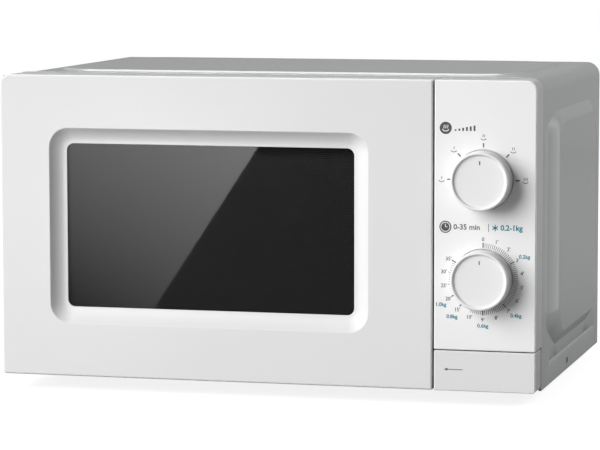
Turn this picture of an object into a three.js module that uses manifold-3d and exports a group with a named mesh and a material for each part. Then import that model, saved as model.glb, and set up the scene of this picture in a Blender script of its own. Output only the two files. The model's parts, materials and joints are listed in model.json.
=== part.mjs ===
// A counter-top microwave oven of the 20 litre class, as an assembly of its separate pieces.
//
// Units are millimetres and +Z is up. The part's own frame has its origin on the surface that the
// feet stand on, under the middle of the whole oven. X runs to the right as the user sees it and
// Y runs from the front to the back.
//
// Pieces are laid out in the front panel's frame instead: Y counts back from the front face of
// the door, Z counts up from the bottom edge of the door. One group moves them all into place.

import * as THREE from "three";
import { ConvexGeometry } from "three/addons/geometries/ConvexGeometry.js";
import { mergeVertices } from "three/addons/utils/BufferGeometryUtils.js";
import Module from "manifold-3d";

// ---------------------------------------------------------------- driving dimensions

const FRONT_WIDTH = 439.5;
const FRONT_HEIGHT = 244;
const BODY_DEPTH = 312; // front face to the cabinet's back edge
const FASCIA_DEPTH = 28; // thickness of the door and of the control panel
const FOOT_HEIGHT = 12.5; // below the door's bottom edge
const KNOB_PROUD = 17; // in front of the front face
const SCREW_PROUD = 2.3; // behind the cabinet
const GAP = 0.3; // between pieces that touch

const SHEET = 0.8; // thickness of the folded steel sheet
const CABINET_HALF = 219.3;
const CABINET_TOP = 243.8;
const CABINET_FRONT = 30; // clears the door's back edge when the door is open
const CABINET_BOTTOM = -2.3; // a little below the door's bottom edge
const CABINET_CORNER = 11; // radius of the two long top edges
const REAR_FLANGE = 14;
const PLATFORM = { x: [-201, 194], y: [65, 285], corner: 18, slope: 3, rise: 1.7 };
const SIDE_RISE = 6; // raised field on each side of the cabinet
const GROOVE = { y: [61, 292], z: [12.4, 17], depth: 0.4 }; // along the foot of each side
const SIDE_HOLE = { y: [148.8, 154.6], z: [2.6, 7.2] };

const DOOR_RIGHT = 137.55; // the door ends here and the control panel starts after a gap
const PANEL_LEFT = 139.05;
const BUTTON_TOP = 31.7;
const PANEL_BOTTOM = 32.5;
const TOP_CORNER = 7.5; // radius of the front's top corners
const BOTTOM_CORNER = 2.5;

const WINDOW = { left: -164.5, right: 72, bottom: 57, top: 187.6, corner: 5 }; // clear glass
const BEVEL_WIDTH = 13.9;
const BEVEL_DEPTH = 8;

const CAVITY = { left: -203, right: 107, bottom: 20, top: 220, front: 31.6, back: 300 };
const PLATE_FRONT = 30.3; // front plate of the chassis
const PLATE_THICK = 1;
const PLATE_BACK = PLATE_FRONT + PLATE_THICK;
const BASE_TOP = 3;

const HINGE = { x: -FRONT_WIDTH / 2 + 9, y: 19, edge: 9, pin: 2.7 }; // vertical axis of the door
const KNOB_X = 178;
const POWER_Z = 166.6;
const TIMER_Z = 89;
const KNOB_RADIUS = 23.3;
const SHAFT_RADIUS = 3;

const TABLE = { x: -48, y: 165.8 }; // axis of the turntable
const TRAY_RADIUS = 122.5;
const ROLLER_RADIUS = 7;
const ROLLER_PATH = 90; // from the turntable's axis to a roller's middle
const ROLLER_WIDTH = 6;

const LEVER = { y: 38, z: 34, arm: 18 }; // axis of the door release lever, along X
const STEM_X = 153;
const HOOK = { x: 122, lower: 37.4, upper: 190, height: 8, tip: 56 };
const FAN = { x: 163, z: 158, radius: 43, y: 276 };
const MAGNETRON = { y: 190, z: 160 };

// ---------------------------------------------------------------- solids

const wasm = await Module();
wasm.setup();

function solidOf(geometry) {
  const bare = geometry.clone();
  bare.deleteAttribute("normal");
  bare.deleteAttribute("uv");
  const merged = mergeVertices(bare, 1e-3);
  return new wasm.Manifold(
    new wasm.Mesh({
      numProp: 3,
      vertProperties: merged.attributes.position.array,
      triVerts: new Uint32Array(merged.index.array),
    }),
  );
}

function geometryOf(solid) {
  const result = solid.getMesh();
  const geometry = new THREE.BufferGeometry();
  geometry.setAttribute("position", new THREE.BufferAttribute(result.vertProperties, 3));
  geometry.setIndex(new THREE.BufferAttribute(result.triVerts, 1));
  geometry.computeVertexNormals();
  return geometry;
}

function join(...geometries) {
  return geometryOf(geometries.map(solidOf).reduce((sum, next) => sum.add(next)));
}

function cut(geometry, ...tools) {
  return geometryOf(tools.map(solidOf).reduce((rest, tool) => rest.subtract(tool), solidOf(geometry)));
}

function common(geometry, other) {
  return geometryOf(solidOf(geometry).intersect(solidOf(other)));
}

// A box from its limits along X, Y and Z.
function block([x0, x1], [y0, y1], [z0, z1]) {
  const box = new THREE.BoxGeometry(x1 - x0, y1 - y0, z1 - z0);
  return box.translate((x0 + x1) / 2, (y0 + y1) / 2, (z0 + z1) / 2);
}

// A round bar along one axis, centred on the point and running over the given span of that axis.
function rod(axis, radius, [from, to], [u, v], sides = 12) {
  const bar = new THREE.CylinderGeometry(radius, radius, to - from, sides);
  const middle = (from + to) / 2;
  if (axis === "x") return bar.rotateZ(Math.PI / 2).translate(middle, u, v);
  if (axis === "z") return bar.rotateX(Math.PI / 2).translate(u, v, middle);
  return bar.translate(u, middle, v);
}

// An outline in the XZ plane pushed along Y, between two distances behind the front face.
function slab(shape, y0, y1, curveSegments = 5) {
  const settings = { depth: y1 - y0, bevelEnabled: false, curveSegments };
  return new THREE.ExtrudeGeometry(shape, settings).rotateX(Math.PI / 2).translate(0, y1, 0);
}

// An outline in the XY plane pushed along Z.
function column(shape, z0, z1, curveSegments = 6) {
  const settings = { depth: z1 - z0, bevelEnabled: false, curveSegments };
  return new THREE.ExtrudeGeometry(shape, settings).translate(0, 0, z0);
}

// A rectangle with its own radius at each corner: bottom left, bottom right, top right, top left.
function roundedRectangle([x0, x1], [z0, z1], [bottomLeft, bottomRight, topRight, topLeft]) {
  const shape = new THREE.Shape();
  shape.moveTo(x0 + bottomLeft, z0);
  shape.lineTo(x1 - bottomRight, z0);
  shape.absarc(x1 - bottomRight, z0 + bottomRight, bottomRight, -Math.PI / 2, 0);
  shape.lineTo(x1, z1 - topRight);
  shape.absarc(x1 - topRight, z1 - topRight, topRight, 0, Math.PI / 2);
  shape.lineTo(x0 + topLeft, z1);
  shape.absarc(x0 + topLeft, z1 - topLeft, topLeft, Math.PI / 2, Math.PI);
  shape.lineTo(x0, z0 + bottomLeft);
  shape.absarc(x0 + bottomLeft, z0 + bottomLeft, bottomLeft, Math.PI, Math.PI * 1.5);
  return shape;
}

function evenCorners(radius) {
  return [radius, radius, radius, radius];
}

// A profile of [radius, height] points turned about Z, from the axis round to the axis.
function turned(profile, sides = 24) {
  const points = profile.map(([radius, height]) => new THREE.Vector2(radius, height));
  return new THREE.LatheGeometry(points, sides).rotateX(Math.PI / 2);
}

// A coil of wire that stands along Z.
class Coil extends THREE.Curve {
  constructor(radius, height, turns) {
    super();
    this.radius = radius;
    this.height = height;
    this.turns = turns;
  }
  getPoint(t, target = new THREE.Vector3()) {
    const angle = 2 * Math.PI * this.turns * t;
    return target.set(this.radius * Math.cos(angle), this.radius * Math.sin(angle), this.height * t);
  }
}

function spring(radius, height, turns, wire) {
  const section = new THREE.Shape();
  const sides = 5;
  for (let i = 0; i < sides; i++) {
    const angle = (2 * Math.PI * i) / sides;
    const [u, v] = [wire * Math.cos(angle), wire * Math.sin(angle)];
    if (i === 0) section.moveTo(u, v);
    else section.lineTo(u, v);
  }
  const extrudePath = new Coil(radius, height - 2 * wire, turns);
  const stepsPerTurn = 8;
  const coil = new THREE.ExtrudeGeometry(section, {
    steps: Math.round(turns * stepsPerTurn),
    bevelEnabled: false,
    extrudePath,
  });
  return coil.translate(0, 0, wire);
}

// ---------------------------------------------------------------- materials

function material(color, roughness, metalness, opacity = 1) {
  return new THREE.MeshStandardMaterial({
    color,
    roughness,
    metalness,
    opacity,
    transparent: opacity < 1,
  });
}

const MATERIALS = {
  whitePlastic: material(0xeeeeec, 0.4, 0),
  silverPaint: material(0x9a9b9b, 0.45, 0.3),
  zincSteel: material(0xb4b6b8, 0.4, 0.8),
  cavityPaint: material(0xd8d8d4, 0.5, 0),
  screenSteel: material(0x3a3b3c, 0.5, 0.4),
  darkGlass: material(0x202224, 0.08, 0, 0.35),
  clearGlass: material(0xdfe8e8, 0.05, 0, 0.35),
  blackPlastic: material(0x232323, 0.5, 0),
  greyPlastic: material(0x8c8e90, 0.5, 0),
  rubber: material(0x1c1c1c, 0.85, 0),
  mica: material(0xb7a98a, 0.6, 0),
  copper: material(0xa85f36, 0.35, 0.9),
  aluminium: material(0xc9cbcd, 0.3, 0.9),
  board: material(0x2f6b3a, 0.55, 0),
  springSteel: material(0x8f9193, 0.3, 0.9),
};

function piece(name, geometry, surface) {
  const mesh = new THREE.Mesh(geometry, surface);
  mesh.name = name;
  return mesh;
}

// ---------------------------------------------------------------- cabinet and chassis

// The cabinet's solid outline, shrunk inwards by one sheet thickness to make its hollow.
function cabinetMass(inset, y0, y1, bottom) {
  const half = CABINET_HALF - inset;
  const top = CABINET_TOP - inset;
  const corner = CABINET_CORNER - inset;
  const outline = roundedRectangle([-half, half], [bottom, top], [0, 0, corner, corner]);
  return join(slab(outline, y0, y1), platform(top), sideField(half, 1), sideField(half, -1));
}

// Raised platform on the top: a wide flat field with a narrow slope all round it.
function platform(base) {
  const { x, y, corner, slope, rise } = PLATFORM;
  const ring = (inset, height) => {
    const outline = roundedRectangle(
      [x[0] + inset, x[1] - inset],
      [y[0] + inset, y[1] - inset],
      evenCorners(corner - inset),
    );
    return outline.extractPoints(4).shape.map((p) => new THREE.Vector3(p.x, p.y, height));
  };
  return new ConvexGeometry([...ring(0, base - 2), ...ring(0, base), ...ring(slope, base + rise)]);
}

// Raised field on a side wall: long gentle slopes at the front and back, short ones above and below.
function sideField(wall, side) {
  const foot = [[50, 45], [88, 27], [250, 27], [286, 45], [286, 185], [256, 215], [88, 215], [50, 206]];
  const crest = [[84, 56], [93, 37], [244, 37], [254, 48], [254, 182], [246, 206], [93, 206], [84, 196]];
  const at = (points, x) => points.map(([y, z]) => new THREE.Vector3(side * x, y, z));
  return new ConvexGeometry([
    ...at(foot, wall - 2),
    ...at(foot, wall),
    ...at(crest, wall + SIDE_RISE),
  ]);
}

function cabinet() {
  const outer = cabinetMass(0, CABINET_FRONT, BODY_DEPTH, CABINET_BOTTOM);
  const inner = cabinetMass(SHEET, CABINET_FRONT - 1, BODY_DEPTH - SHEET, CABINET_BOTTOM - 1);
  const half = CABINET_HALF - REAR_FLANGE;
  const rearOpening = block(
    [-half, half],
    [BODY_DEPTH - 2, BODY_DEPTH + 1],
    [CABINET_BOTTOM - 1, CABINET_TOP - REAR_FLANGE],
  );
  const grooves = [-1, 1].map((side) => onSide(side, GROOVE.depth, GROOVE));
  const holes = [-1, 1].map((side) => onSide(side, SHEET + 1, SIDE_HOLE));
  const folded = cut(outer, inner, rearOpening, ...screwHoles(), ...grooves, ...holes);
  return piece("cabinet", folded, MATERIALS.silverPaint);
}

// A block that reaches a given depth into a side wall from outside.
function onSide(side, depth, { y, z }) {
  const [near, far] = [CABINET_HALF - depth, CABINET_HALF + 1];
  return block(side > 0 ? [near, far] : [-far, -near], y, z);
}

const SCREW = { x: 211, z: 226, radius: 1.8, head: 4 };

function screwHoles() {
  return [-1, 1].map((side) =>
    rod("y", SCREW.radius + GAP, [BODY_DEPTH - 6, BODY_DEPTH + 1], [side * SCREW.x, SCREW.z], 10),
  );
}

function cabinetScrew(name, side) {
  const at = [side * SCREW.x, SCREW.z];
  const head = rod("y", SCREW.head, [BODY_DEPTH + GAP, BODY_DEPTH + SCREW_PROUD], at, 14);
  const shank = rod("y", SCREW.radius, [BODY_DEPTH - 8, BODY_DEPTH + GAP + 0.5], at, 10);
  return piece(name, join(head, shank), MATERIALS.zincSteel);
}

const REAR = { front: BODY_DEPTH - SHEET - GAP - 1, back: BODY_DEPTH - SHEET - GAP };
const CHASSIS_HALF = CABINET_HALF - SHEET - GAP;

function rearPanel() {
  const top = CABINET_TOP - SHEET - GAP - CABINET_CORNER / 3;
  const half = CHASSIS_HALF - 3;
  const sheet = block([-half, half], [REAR.front, REAR.back], [BASE_TOP + GAP, top]);
  const tools = [...screwHoles()];
  const slots = 5;
  for (let i = 0; i < slots; i++) {
    const z = FAN.z - 35 + i * 15;
    tools.push(block([FAN.x - 34, FAN.x + 34], [REAR.front - 1, REAR.back + 1], [z, z + 7]));
    tools.push(block([-150, -60], [REAR.front - 1, REAR.back + 1], [z, z + 7]));
  }
  const inlet = [CORD_INLET.x, CORD_INLET.z];
  tools.push(rod("y", CORD_INLET.neck + GAP, [REAR.front - 1, REAR.back + 1], inlet));
  return piece("rear_panel", cut(sheet, ...tools), MATERIALS.zincSteel);
}

const CORD_INLET = { x: 192, z: 32, neck: 7 };

// The bushing in the rear panel that the mains cord would enter by.
function cordInlet() {
  const at = [CORD_INLET.x, CORD_INLET.z];
  const neck = rod("y", CORD_INLET.neck, [REAR.front - 8, REAR.back + 1.6], at);
  const collar = rod("y", CORD_INLET.neck + 3, [REAR.front - 3.3, REAR.front - GAP], at);
  const lip = rod("y", CORD_INLET.neck + 2, [REAR.back + GAP, REAR.back + 2.6], at);
  const passage = rod("y", 3.8, [REAR.front - 9, REAR.back + 4], at, 12);
  return piece("cord_inlet", cut(join(neck, collar, lip), passage), MATERIALS.blackPlastic);
}

function basePlate() {
  const rim = 9;
  const half = CHASSIS_HALF;
  const back = REAR.front - GAP;
  const tray = block([-half, half], [PLATE_BACK + GAP, back], [BASE_TOP - 1, BASE_TOP + rim]);
  const inside = block(
    [-half + 1, half - 1],
    [PLATE_BACK - 1, back - 1],
    [BASE_TOP, BASE_TOP + rim + 1],
  );
  const vents = [0, 1, 2, 3, 4].map((i) =>
    block([120 + i * 16, 126 + i * 16], [205, 250], [BASE_TOP - 2, BASE_TOP + 1]),
  );
  const footHoles = FEET.map(([, x, y]) => rod("z", 4 + GAP, [BASE_TOP - 2, BASE_TOP + 1], [x, y], 12));
  const sideHoles = block(
    [-half - 1, half + 1],
    [SIDE_HOLE.y[0] - 1, SIDE_HOLE.y[1] + 1],
    [BASE_TOP + GAP, SIDE_HOLE.z[1] + 1],
  );
  const tools = [inside, ...vents, ...footHoles, sideHoles];
  return piece("base_plate", cut(tray, ...tools), MATERIALS.zincSteel);
}

const FEET = [
  ["foot_front_left", -165, 105],
  ["foot_front_right", 165, 105],
  ["foot_rear_left", -165, 270],
  ["foot_rear_right", 165, 270],
];

function foot([name, x, y]) {
  const shoulder = BASE_TOP - 1 - GAP + FOOT_HEIGHT;
  const peg = BASE_TOP + FOOT_HEIGHT;
  const profile = [[0, 0], [10.5, 0], [12, 1.5], [14, shoulder], [4, shoulder], [4, peg], [0, peg]];
  const mesh = piece(name, turned(profile, 14), MATERIALS.rubber);
  mesh.position.set(x, y, -FOOT_HEIGHT);
  return mesh;
}

// The chassis plate behind the door, with the oven's mouth, the controls' window and small slots.
function frontPlate() {
  const half = CHASSIS_HALF;
  const outline = roundedRectangle(
    [-half, half],
    [BASE_TOP - 1, CABINET_TOP - SHEET - GAP],
    [0, 0, CABINET_CORNER, CABINET_CORNER],
  );
  const through = [PLATE_FRONT - 1, PLATE_BACK + 1];
  const tools = [
    block([CAVITY.left, CAVITY.right], through, [CAVITY.bottom, CAVITY.top]),
    block([150, 206], through, [TIMER_Z - 25, POWER_Z + 23]),
    block([STEM_X - 4, STEM_X + 4], through, [LEVER.z - LEVER.arm - 3.5, LEVER.z - LEVER.arm + 3.5]),
    ...[HOOK.lower, HOOK.upper].map((z) => block([HOOK.x - 5, HOOK.x + 7.4], through, [z - 2, z + 18])),
    ...[HINGE_UPPER, HINGE_LOWER].map((h) =>
      block([HINGE.x - 4.5, HINGE.x + 4.5], through, [h.arm[0] - 0.5, h.arm[1] + 0.5]),
    ),
  ];
  return piece("front_plate", cut(slab(outline, PLATE_FRONT, PLATE_BACK), ...tools), MATERIALS.cavityPaint);
}

// ---------------------------------------------------------------- oven cavity

function cavityFloor() {
  const { left, right, bottom, front, back } = CAVITY;
  const sheet = block([left - SHEET, right + SHEET], [front, back], [bottom - SHEET, bottom]);
  const hole = rod("z", 6.5, [bottom - 2, bottom + 1], [TABLE.x, TABLE.y]);
  return piece("cavity_floor", cut(sheet, hole), MATERIALS.cavityPaint);
}

function cavityRoof() {
  const { left, right, top, front, back } = CAVITY;
  const sheet = block([left - SHEET, right + SHEET], [front, back], [top, top + SHEET]);
  return piece("cavity_roof", sheet, MATERIALS.cavityPaint);
}

function cavityLeftWall() {
  const { left, bottom, top, front, back } = CAVITY;
  const sheet = block([left - SHEET, left], [front, back], [bottom + GAP, top - GAP]);
  return piece("cavity_left_wall", sheet, MATERIALS.cavityPaint);
}

const LAMP = { y: 92, z: 196 };
const GUIDE = { y: [150, 230], z: [112, 208], depth: 36 };

function cavityRightWall() {
  const { right, bottom, top, front, back } = CAVITY;
  const sheet = block([right, right + SHEET], [front, back], [bottom + GAP, top - GAP]);
  const through = [right - 1, right + SHEET + 1];
  const tools = [block(through, [GUIDE.y[0] + 10, GUIDE.y[1] - 10], [GUIDE.z[0] + 8, GUIDE.z[1] - 52])];
  for (const dy of [-8, 0, 8]) {
    for (const dz of [-8, 0, 8]) {
      tools.push(block(through, [LAMP.y + dy - 2, LAMP.y + dy + 2], [LAMP.z + dz - 2, LAMP.z + dz + 2]));
    }
  }
  return piece("cavity_right_wall", cut(sheet, ...tools), MATERIALS.cavityPaint);
}

// Slots in the cavity's rear wall that let the steam out.
const AIR_SLOT = { inset: 40, pitch: 16, width: 8, z: [168, 198] };

function cavityRearWall() {
  const { left, right, bottom, top, back } = CAVITY;
  const sheet = block(
    [left - SHEET, right + SHEET],
    [back + GAP, back + GAP + SHEET],
    [bottom - SHEET, top + SHEET],
  );
  const slots = [0, 1, 2, 3].map((i) => {
    const x = left + AIR_SLOT.inset + i * AIR_SLOT.pitch;
    return block([x, x + AIR_SLOT.width], [back - 1, back + 2], AIR_SLOT.z);
  });
  return piece("cavity_rear_wall", cut(sheet, ...slots), MATERIALS.cavityPaint);
}

function waveguideCover() {
  const [y0, y1] = GUIDE.y;
  const sheet = block(
    [CAVITY.right - GAP - 0.6, CAVITY.right - GAP],
    [y0 + 2, y1 - 2],
    [GUIDE.z[0] + 2, GUIDE.z[1] - 44],
  );
  return piece("waveguide_cover", sheet, MATERIALS.mica);
}

// A sheet-steel duct on the cavity's right wall, open to the cavity and to the magnetron's antenna.
function waveguide() {
  const x0 = CAVITY.right + SHEET + GAP;
  const x1 = x0 + GUIDE.depth;
  const shell = block([x0, x1], GUIDE.y, GUIDE.z);
  const hollow = block(
    [x0 - 1, x1 - 1.2],
    [GUIDE.y[0] + 1.2, GUIDE.y[1] - 1.2],
    [GUIDE.z[0] + 1.2, GUIDE.z[1] - 1.2],
  );
  const antennaHole = rod("x", 11, [x1 - 3, x1 + 1], [MAGNETRON.y, MAGNETRON.z]);
  return piece("waveguide", cut(shell, hollow, antennaHole), MATERIALS.zincSteel);
}

// ---------------------------------------------------------------- microwave source

const YOKE = { x: [148, 206], y: [166, 214], z: [126, 194], wall: 2 };

function magnetron() {
  const at = [MAGNETRON.y, MAGNETRON.z];
  const anode = rod("x", 18, [YOKE.x[0] + 4, YOKE.x[1] - 4], at);
  const antenna = rod("x", 8, [CAVITY.right + 12, YOKE.x[0] + 5], at, 12);
  const stem = rod("x", 9, [YOKE.x[1] - 5, YOKE.x[1] + 2], at, 12);
  const filterBox = block([YOKE.x[1] + GAP, 214], [MAGNETRON.y - 20, MAGNETRON.y + 20], [136, 184]);
  return piece("magnetron", join(anode, antenna, stem, filterBox), MATERIALS.copper);
}

// Steel yoke round the magnetron with its cooling fins, open from front to back for the air.
function magnetronFins() {
  const { x, y, z, wall } = YOKE;
  const frame = cut(
    block(x, y, z),
    block([x[0] + wall, x[1] - wall], [y[0] - 1, y[1] + 1], [z[0] + wall, z[1] - wall]),
  );
  const fins = 4;
  const parts = [frame];
  for (let i = 0; i < fins; i++) {
    const at = x[0] + 10 + i * 12;
    parts.push(block([at, at + 0.8], [y[0] + 3, y[1] - 3], [z[0] + 1, z[1] - 1]));
  }
  const at = [MAGNETRON.y, MAGNETRON.z];
  const bore = rod("x", 18 + GAP, [x[0] + wall, x[1] - wall], at);
  const antennaHole = rod("x", 9.5, [x[0] - 1, x[0] + wall + 1], at);
  const stemHole = rod("x", 9.5, [x[1] - wall - 1, x[1] + 1], at);
  return piece("magnetron_fins", cut(join(...parts), bore, antennaHole, stemHole), MATERIALS.aluminium);
}

const CORE = { x: [124, 204], y: [92, 144], z: [BASE_TOP + GAP, 68], leg: 26, limb: 13 };

function transformerCore() {
  const middle = (CORE.x[0] + CORE.x[1]) / 2;
  const windowZ = [CORE.z[0] + CORE.limb, CORE.z[1] - CORE.limb];
  const through = [CORE.y[0] - 1, CORE.y[1] + 1];
  const left = block([CORE.x[0] + CORE.limb, middle - CORE.leg / 2], through, windowZ);
  const right = block([middle + CORE.leg / 2, CORE.x[1] - CORE.limb], through, windowZ);
  return piece("transformer_core", cut(block(CORE.x, CORE.y, CORE.z), left, right), MATERIALS.zincSteel);
}

function transformerWindings() {
  const middle = (CORE.x[0] + CORE.x[1]) / 2;
  const overhang = 12;
  const z = [CORE.z[0] + CORE.limb + 0.6, CORE.z[1] - CORE.limb - 0.6];
  const halfOuter = (CORE.x[1] - CORE.x[0]) / 2 - CORE.limb - 0.6;
  const halfInner = CORE.leg / 2 + 0.6;
  const outer = block(
    [middle - halfOuter, middle + halfOuter],
    [CORE.y[0] - overhang, CORE.y[1] + overhang],
    z,
  );
  const inner = block(
    [middle - halfInner, middle + halfInner],
    [CORE.y[0] - 0.6, CORE.y[1] + 0.6],
    [z[0] - 1, z[1] + 1],
  );
  return piece("transformer_windings", cut(outer, inner), MATERIALS.copper);
}

function capacitor() {
  const outline = roundedRectangle([160, 208], [168, 200], evenCorners(15));
  const can = column(outline, BASE_TOP + GAP, 88, 4);
  const tabs = [172, 196].map((x) => block([x - 3, x + 3], [183.6, 184.4], [87, 97]));
  return piece("capacitor", join(can, ...tabs), MATERIALS.aluminium);
}

function highVoltageDiode() {
  const body = rod("y", 4, [206, 228], [196, 40], 12);
  const lead = rod("y", 1, [201, 234], [196, 40], 6);
  const lug = block([192, 200], [232, 233], [BASE_TOP + GAP, 41]);
  return piece("high_voltage_diode", join(body, lead, lug), MATERIALS.blackPlastic);
}

// ---------------------------------------------------------------- air, light and safety

const SHROUD = { y: [266, REAR.front - GAP], half: 47 };

function airDuct() {
  const { y, half } = SHROUD;
  const [x, z] = [FAN.x, FAN.z];
  const shell = block([x - half, x + half], y, [z - half, z + half]);
  const tunnel = rod("y", FAN.radius + 1.5, [y[0] - 1, y[1] + 1], [x, z], 28);
  return piece("air_duct", cut(shell, tunnel), MATERIALS.greyPlastic);
}

function fanMotor() {
  const [x, z] = [FAN.x, FAN.z];
  const frame = block([x - 26, x + 26], [234, 252], [z - 22, z + 22]);
  const coil = block([x - 16, x + 16], [226, 256], [z - 21, z - 5]);
  const arm = block([x - 5, x + 5], [250, 265.6], [z + 18, z + FAN.radius + 4]);
  const hub = rod("y", 9, [225, 262], [x, z]);
  const shaftHole = rod("y", 2.3, [250, 263], [x, z], 10);
  return piece("fan_motor", cut(join(frame, coil, hub, arm), shaftHole), MATERIALS.zincSteel);
}

function fanBlade() {
  const blades = 5;
  const parts = [rod("y", 11, [FAN.y - 7, FAN.y + 7], [0, 0]), rod("y", 2, [254, FAN.y], [0, 0], 10)];
  for (let i = 0; i < blades; i++) {
    const blade = new THREE.BoxGeometry(FAN.radius - 8, 1.4, 24);
    blade.rotateX(0.55);
    blade.translate(FAN.radius / 2 + 4, FAN.y, 0);
    blade.rotateY((2 * Math.PI * i) / blades);
    parts.push(blade);
  }
  const swept = rod("y", FAN.radius, [250, FAN.y + 12], [0, 0], 28);
  const mesh = piece("fan_blade", common(join(...parts), swept), MATERIALS.greyPlastic);
  mesh.position.set(FAN.x, 0, FAN.z);
  return mesh;
}

function ovenLamp() {
  const start = CAVITY.right + SHEET + 3;
  const profile = [[0, 0], [7, 1], [10, 5], [10, 12], [6, 19], [6, 26], [0, 26]];
  const mesh = piece("oven_lamp", turned(profile, 14), MATERIALS.clearGlass);
  mesh.rotation.y = Math.PI / 2;
  mesh.position.set(start, LAMP.y, LAMP.z);
  return mesh;
}

function lampHolder() {
  const x0 = CAVITY.right + SHEET + 3;
  const cup = block([x0 + 19, x0 + 34], [LAMP.y - 12, LAMP.y + 12], [LAMP.z - 12, LAMP.z + 12]);
  const bore = rod("x", 7, [x0 + 18, x0 + 30], [LAMP.y, LAMP.z], 14);
  const strap = block(
    [CAVITY.right + SHEET + GAP, x0 + 22],
    [LAMP.y + 11, LAMP.y + 13],
    [LAMP.z - 12, LAMP.z + 12],
  );
  return piece("lamp_holder", join(cut(cup, bore), strap), MATERIALS.blackPlastic);
}

function thermalCutout() {
  const x0 = CAVITY.right + SHEET + GAP;
  const [y, z] = [116, 100];
  const flange = block([x0, x0 + 1], [y - 16, y + 16], [z - 6, z + 6]);
  const disc = rod("x", 8.5, [x0 + 0.5, x0 + 11], [y, z]);
  const tabs = [-5, 5].map((dz) => block([x0 + 10, x0 + 19], [y - 3, y + 3], [z + dz - 0.4, z + dz + 0.4]));
  return piece("thermal_cutout", join(flange, disc, ...tabs), MATERIALS.blackPlastic);
}

function filterBoard() {
  const [x0, y0, z0] = [118, 222, 214];
  const board = block([x0, x0 + 88], [y0, y0 + 62], [z0, z0 + 1.6]);
  const choke = rod("z", 11, [z0 + 1, z0 + 16], [x0 + 20, y0 + 20]);
  const film = block([x0 + 44, x0 + 70], [y0 + 10, y0 + 20], [z0 + 1, z0 + 17]);
  const fuse = rod("x", 3, [x0 + 44, x0 + 74], [y0 + 44, z0 + 5], 10);
  const clips = [46, 72].map((dx) =>
    block([x0 + dx - 2, x0 + dx + 2], [y0 + 40, y0 + 48], [z0 + 1, z0 + 5]),
  );
  return piece("filter_board", join(board, choke, film, fuse, ...clips), MATERIALS.board);
}

// ---------------------------------------------------------------- turntable

function turntableMotor() {
  const body = rod("z", 24.5, [BASE_TOP + GAP, 17.6], [TABLE.x, TABLE.y], 24);
  const lugs = block([TABLE.x - 32, TABLE.x + 32], [TABLE.y - 5, TABLE.y + 5], [15.4, 17.2]);
  const shaft = rod("z", 3, [17, 22], [TABLE.x, TABLE.y], 10);
  return piece("turntable_motor", join(body, lugs, shaft), MATERIALS.zincSteel);
}

const TRAY_BOTTOM = CAVITY.bottom + GAP + 2 * ROLLER_RADIUS + GAP;

function turntableCoupler() {
  const top = TRAY_BOTTOM - GAP;
  const hub = rod("z", 6, [CAVITY.bottom - 2, top], [0, 0]);
  const wings = [0, 1, 2].map((i) =>
    block([0, 15], [-3, 3], [top - 6, top]).rotateZ((2 * Math.PI * i) / 3),
  );
  const socket = rod("z", 3 + GAP, [CAVITY.bottom - 3, 22 + GAP], [0, 0], 10);
  const mesh = piece("turntable_coupler", cut(join(hub, ...wings), socket), MATERIALS.greyPlastic);
  mesh.position.set(TABLE.x, TABLE.y, 0);
  return mesh;
}

function rollerRing() {
  const middle = CAVITY.bottom + GAP + ROLLER_RADIUS;
  const inner = ROLLER_PATH - ROLLER_WIDTH / 2 - 8;
  const outer = inner + 7;
  const [low, high] = [middle - 2, middle + 2];
  const profile = [[inner, low], [outer, low], [outer, high], [inner, high], [inner, low]];
  const pins = [0, 1, 2].map((i) =>
    rod("x", 1.8, [outer - 1, ROLLER_PATH + ROLLER_WIDTH / 2 + 2], [0, middle], 8).rotateZ(rollerAngle(i)),
  );
  const mesh = piece("roller_ring", join(turned(profile, 30), ...pins), MATERIALS.greyPlastic);
  mesh.position.set(TABLE.x, TABLE.y, 0);
  return mesh;
}

function rollerAngle(index) {
  return Math.PI / 2 + (2 * Math.PI * index) / 3;
}

function roller(index) {
  const half = ROLLER_WIDTH / 2;
  const profile = [[2.2, -half], [ROLLER_RADIUS, -half], [ROLLER_RADIUS, half], [2.2, half], [2.2, -half]];
  const mesh = piece("roller_" + (index + 1), turned(profile, 14), MATERIALS.whitePlastic);
  const angle = rollerAngle(index);
  mesh.rotation.set(0, Math.PI / 2, angle, "ZYX");
  mesh.position.set(
    TABLE.x + ROLLER_PATH * Math.cos(angle),
    TABLE.y + ROLLER_PATH * Math.sin(angle),
    CAVITY.bottom + GAP + ROLLER_RADIUS,
  );
  return mesh;
}

function glassTray() {
  const r = TRAY_RADIUS;
  const profile = [
    [0, 0], [r - 16, 0], [r - 6, 3], [r, 11], [r - 2, 12], [r - 8, 6], [r - 17, 4], [0, 4],
  ];
  const mesh = piece("glass_tray", turned(profile, 36), MATERIALS.clearGlass);
  mesh.position.set(TABLE.x, TABLE.y, TRAY_BOTTOM);
  return mesh;
}

// ---------------------------------------------------------------- door

const DOOR_LEFT = -FRONT_WIDTH / 2;
const DOOR_WALL = 3;
const GLASS = { front: BEVEL_DEPTH + GAP, thick: 3, lap: 4 };
const HINGE_UPPER = { arm: [236, 239.5], pin: [227, 237], boss: [222, FRONT_HEIGHT - 1] };
const HINGE_LOWER = { arm: [4.5, 8], pin: [7, 17], boss: [1, 22] };

// The door's outer form: round corners seen from the front, and a back edge that is round about
// the hinge axis so that it turns clear of the chassis.
function doorMass() {
  const face = roundedRectangle(
    [DOOR_LEFT, DOOR_RIGHT],
    [0, FRONT_HEIGHT],
    [BOTTOM_CORNER, 1, 1, TOP_CORNER],
  );
  const plan = roundedRectangle(
    [DOOR_LEFT, DOOR_RIGHT + 1],
    [-1, FASCIA_DEPTH],
    [0, 0, 0, HINGE.edge],
  );
  return common(slab(face, 0, FASCIA_DEPTH), column(plan, -1, FRONT_HEIGHT + 1));
}

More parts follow.
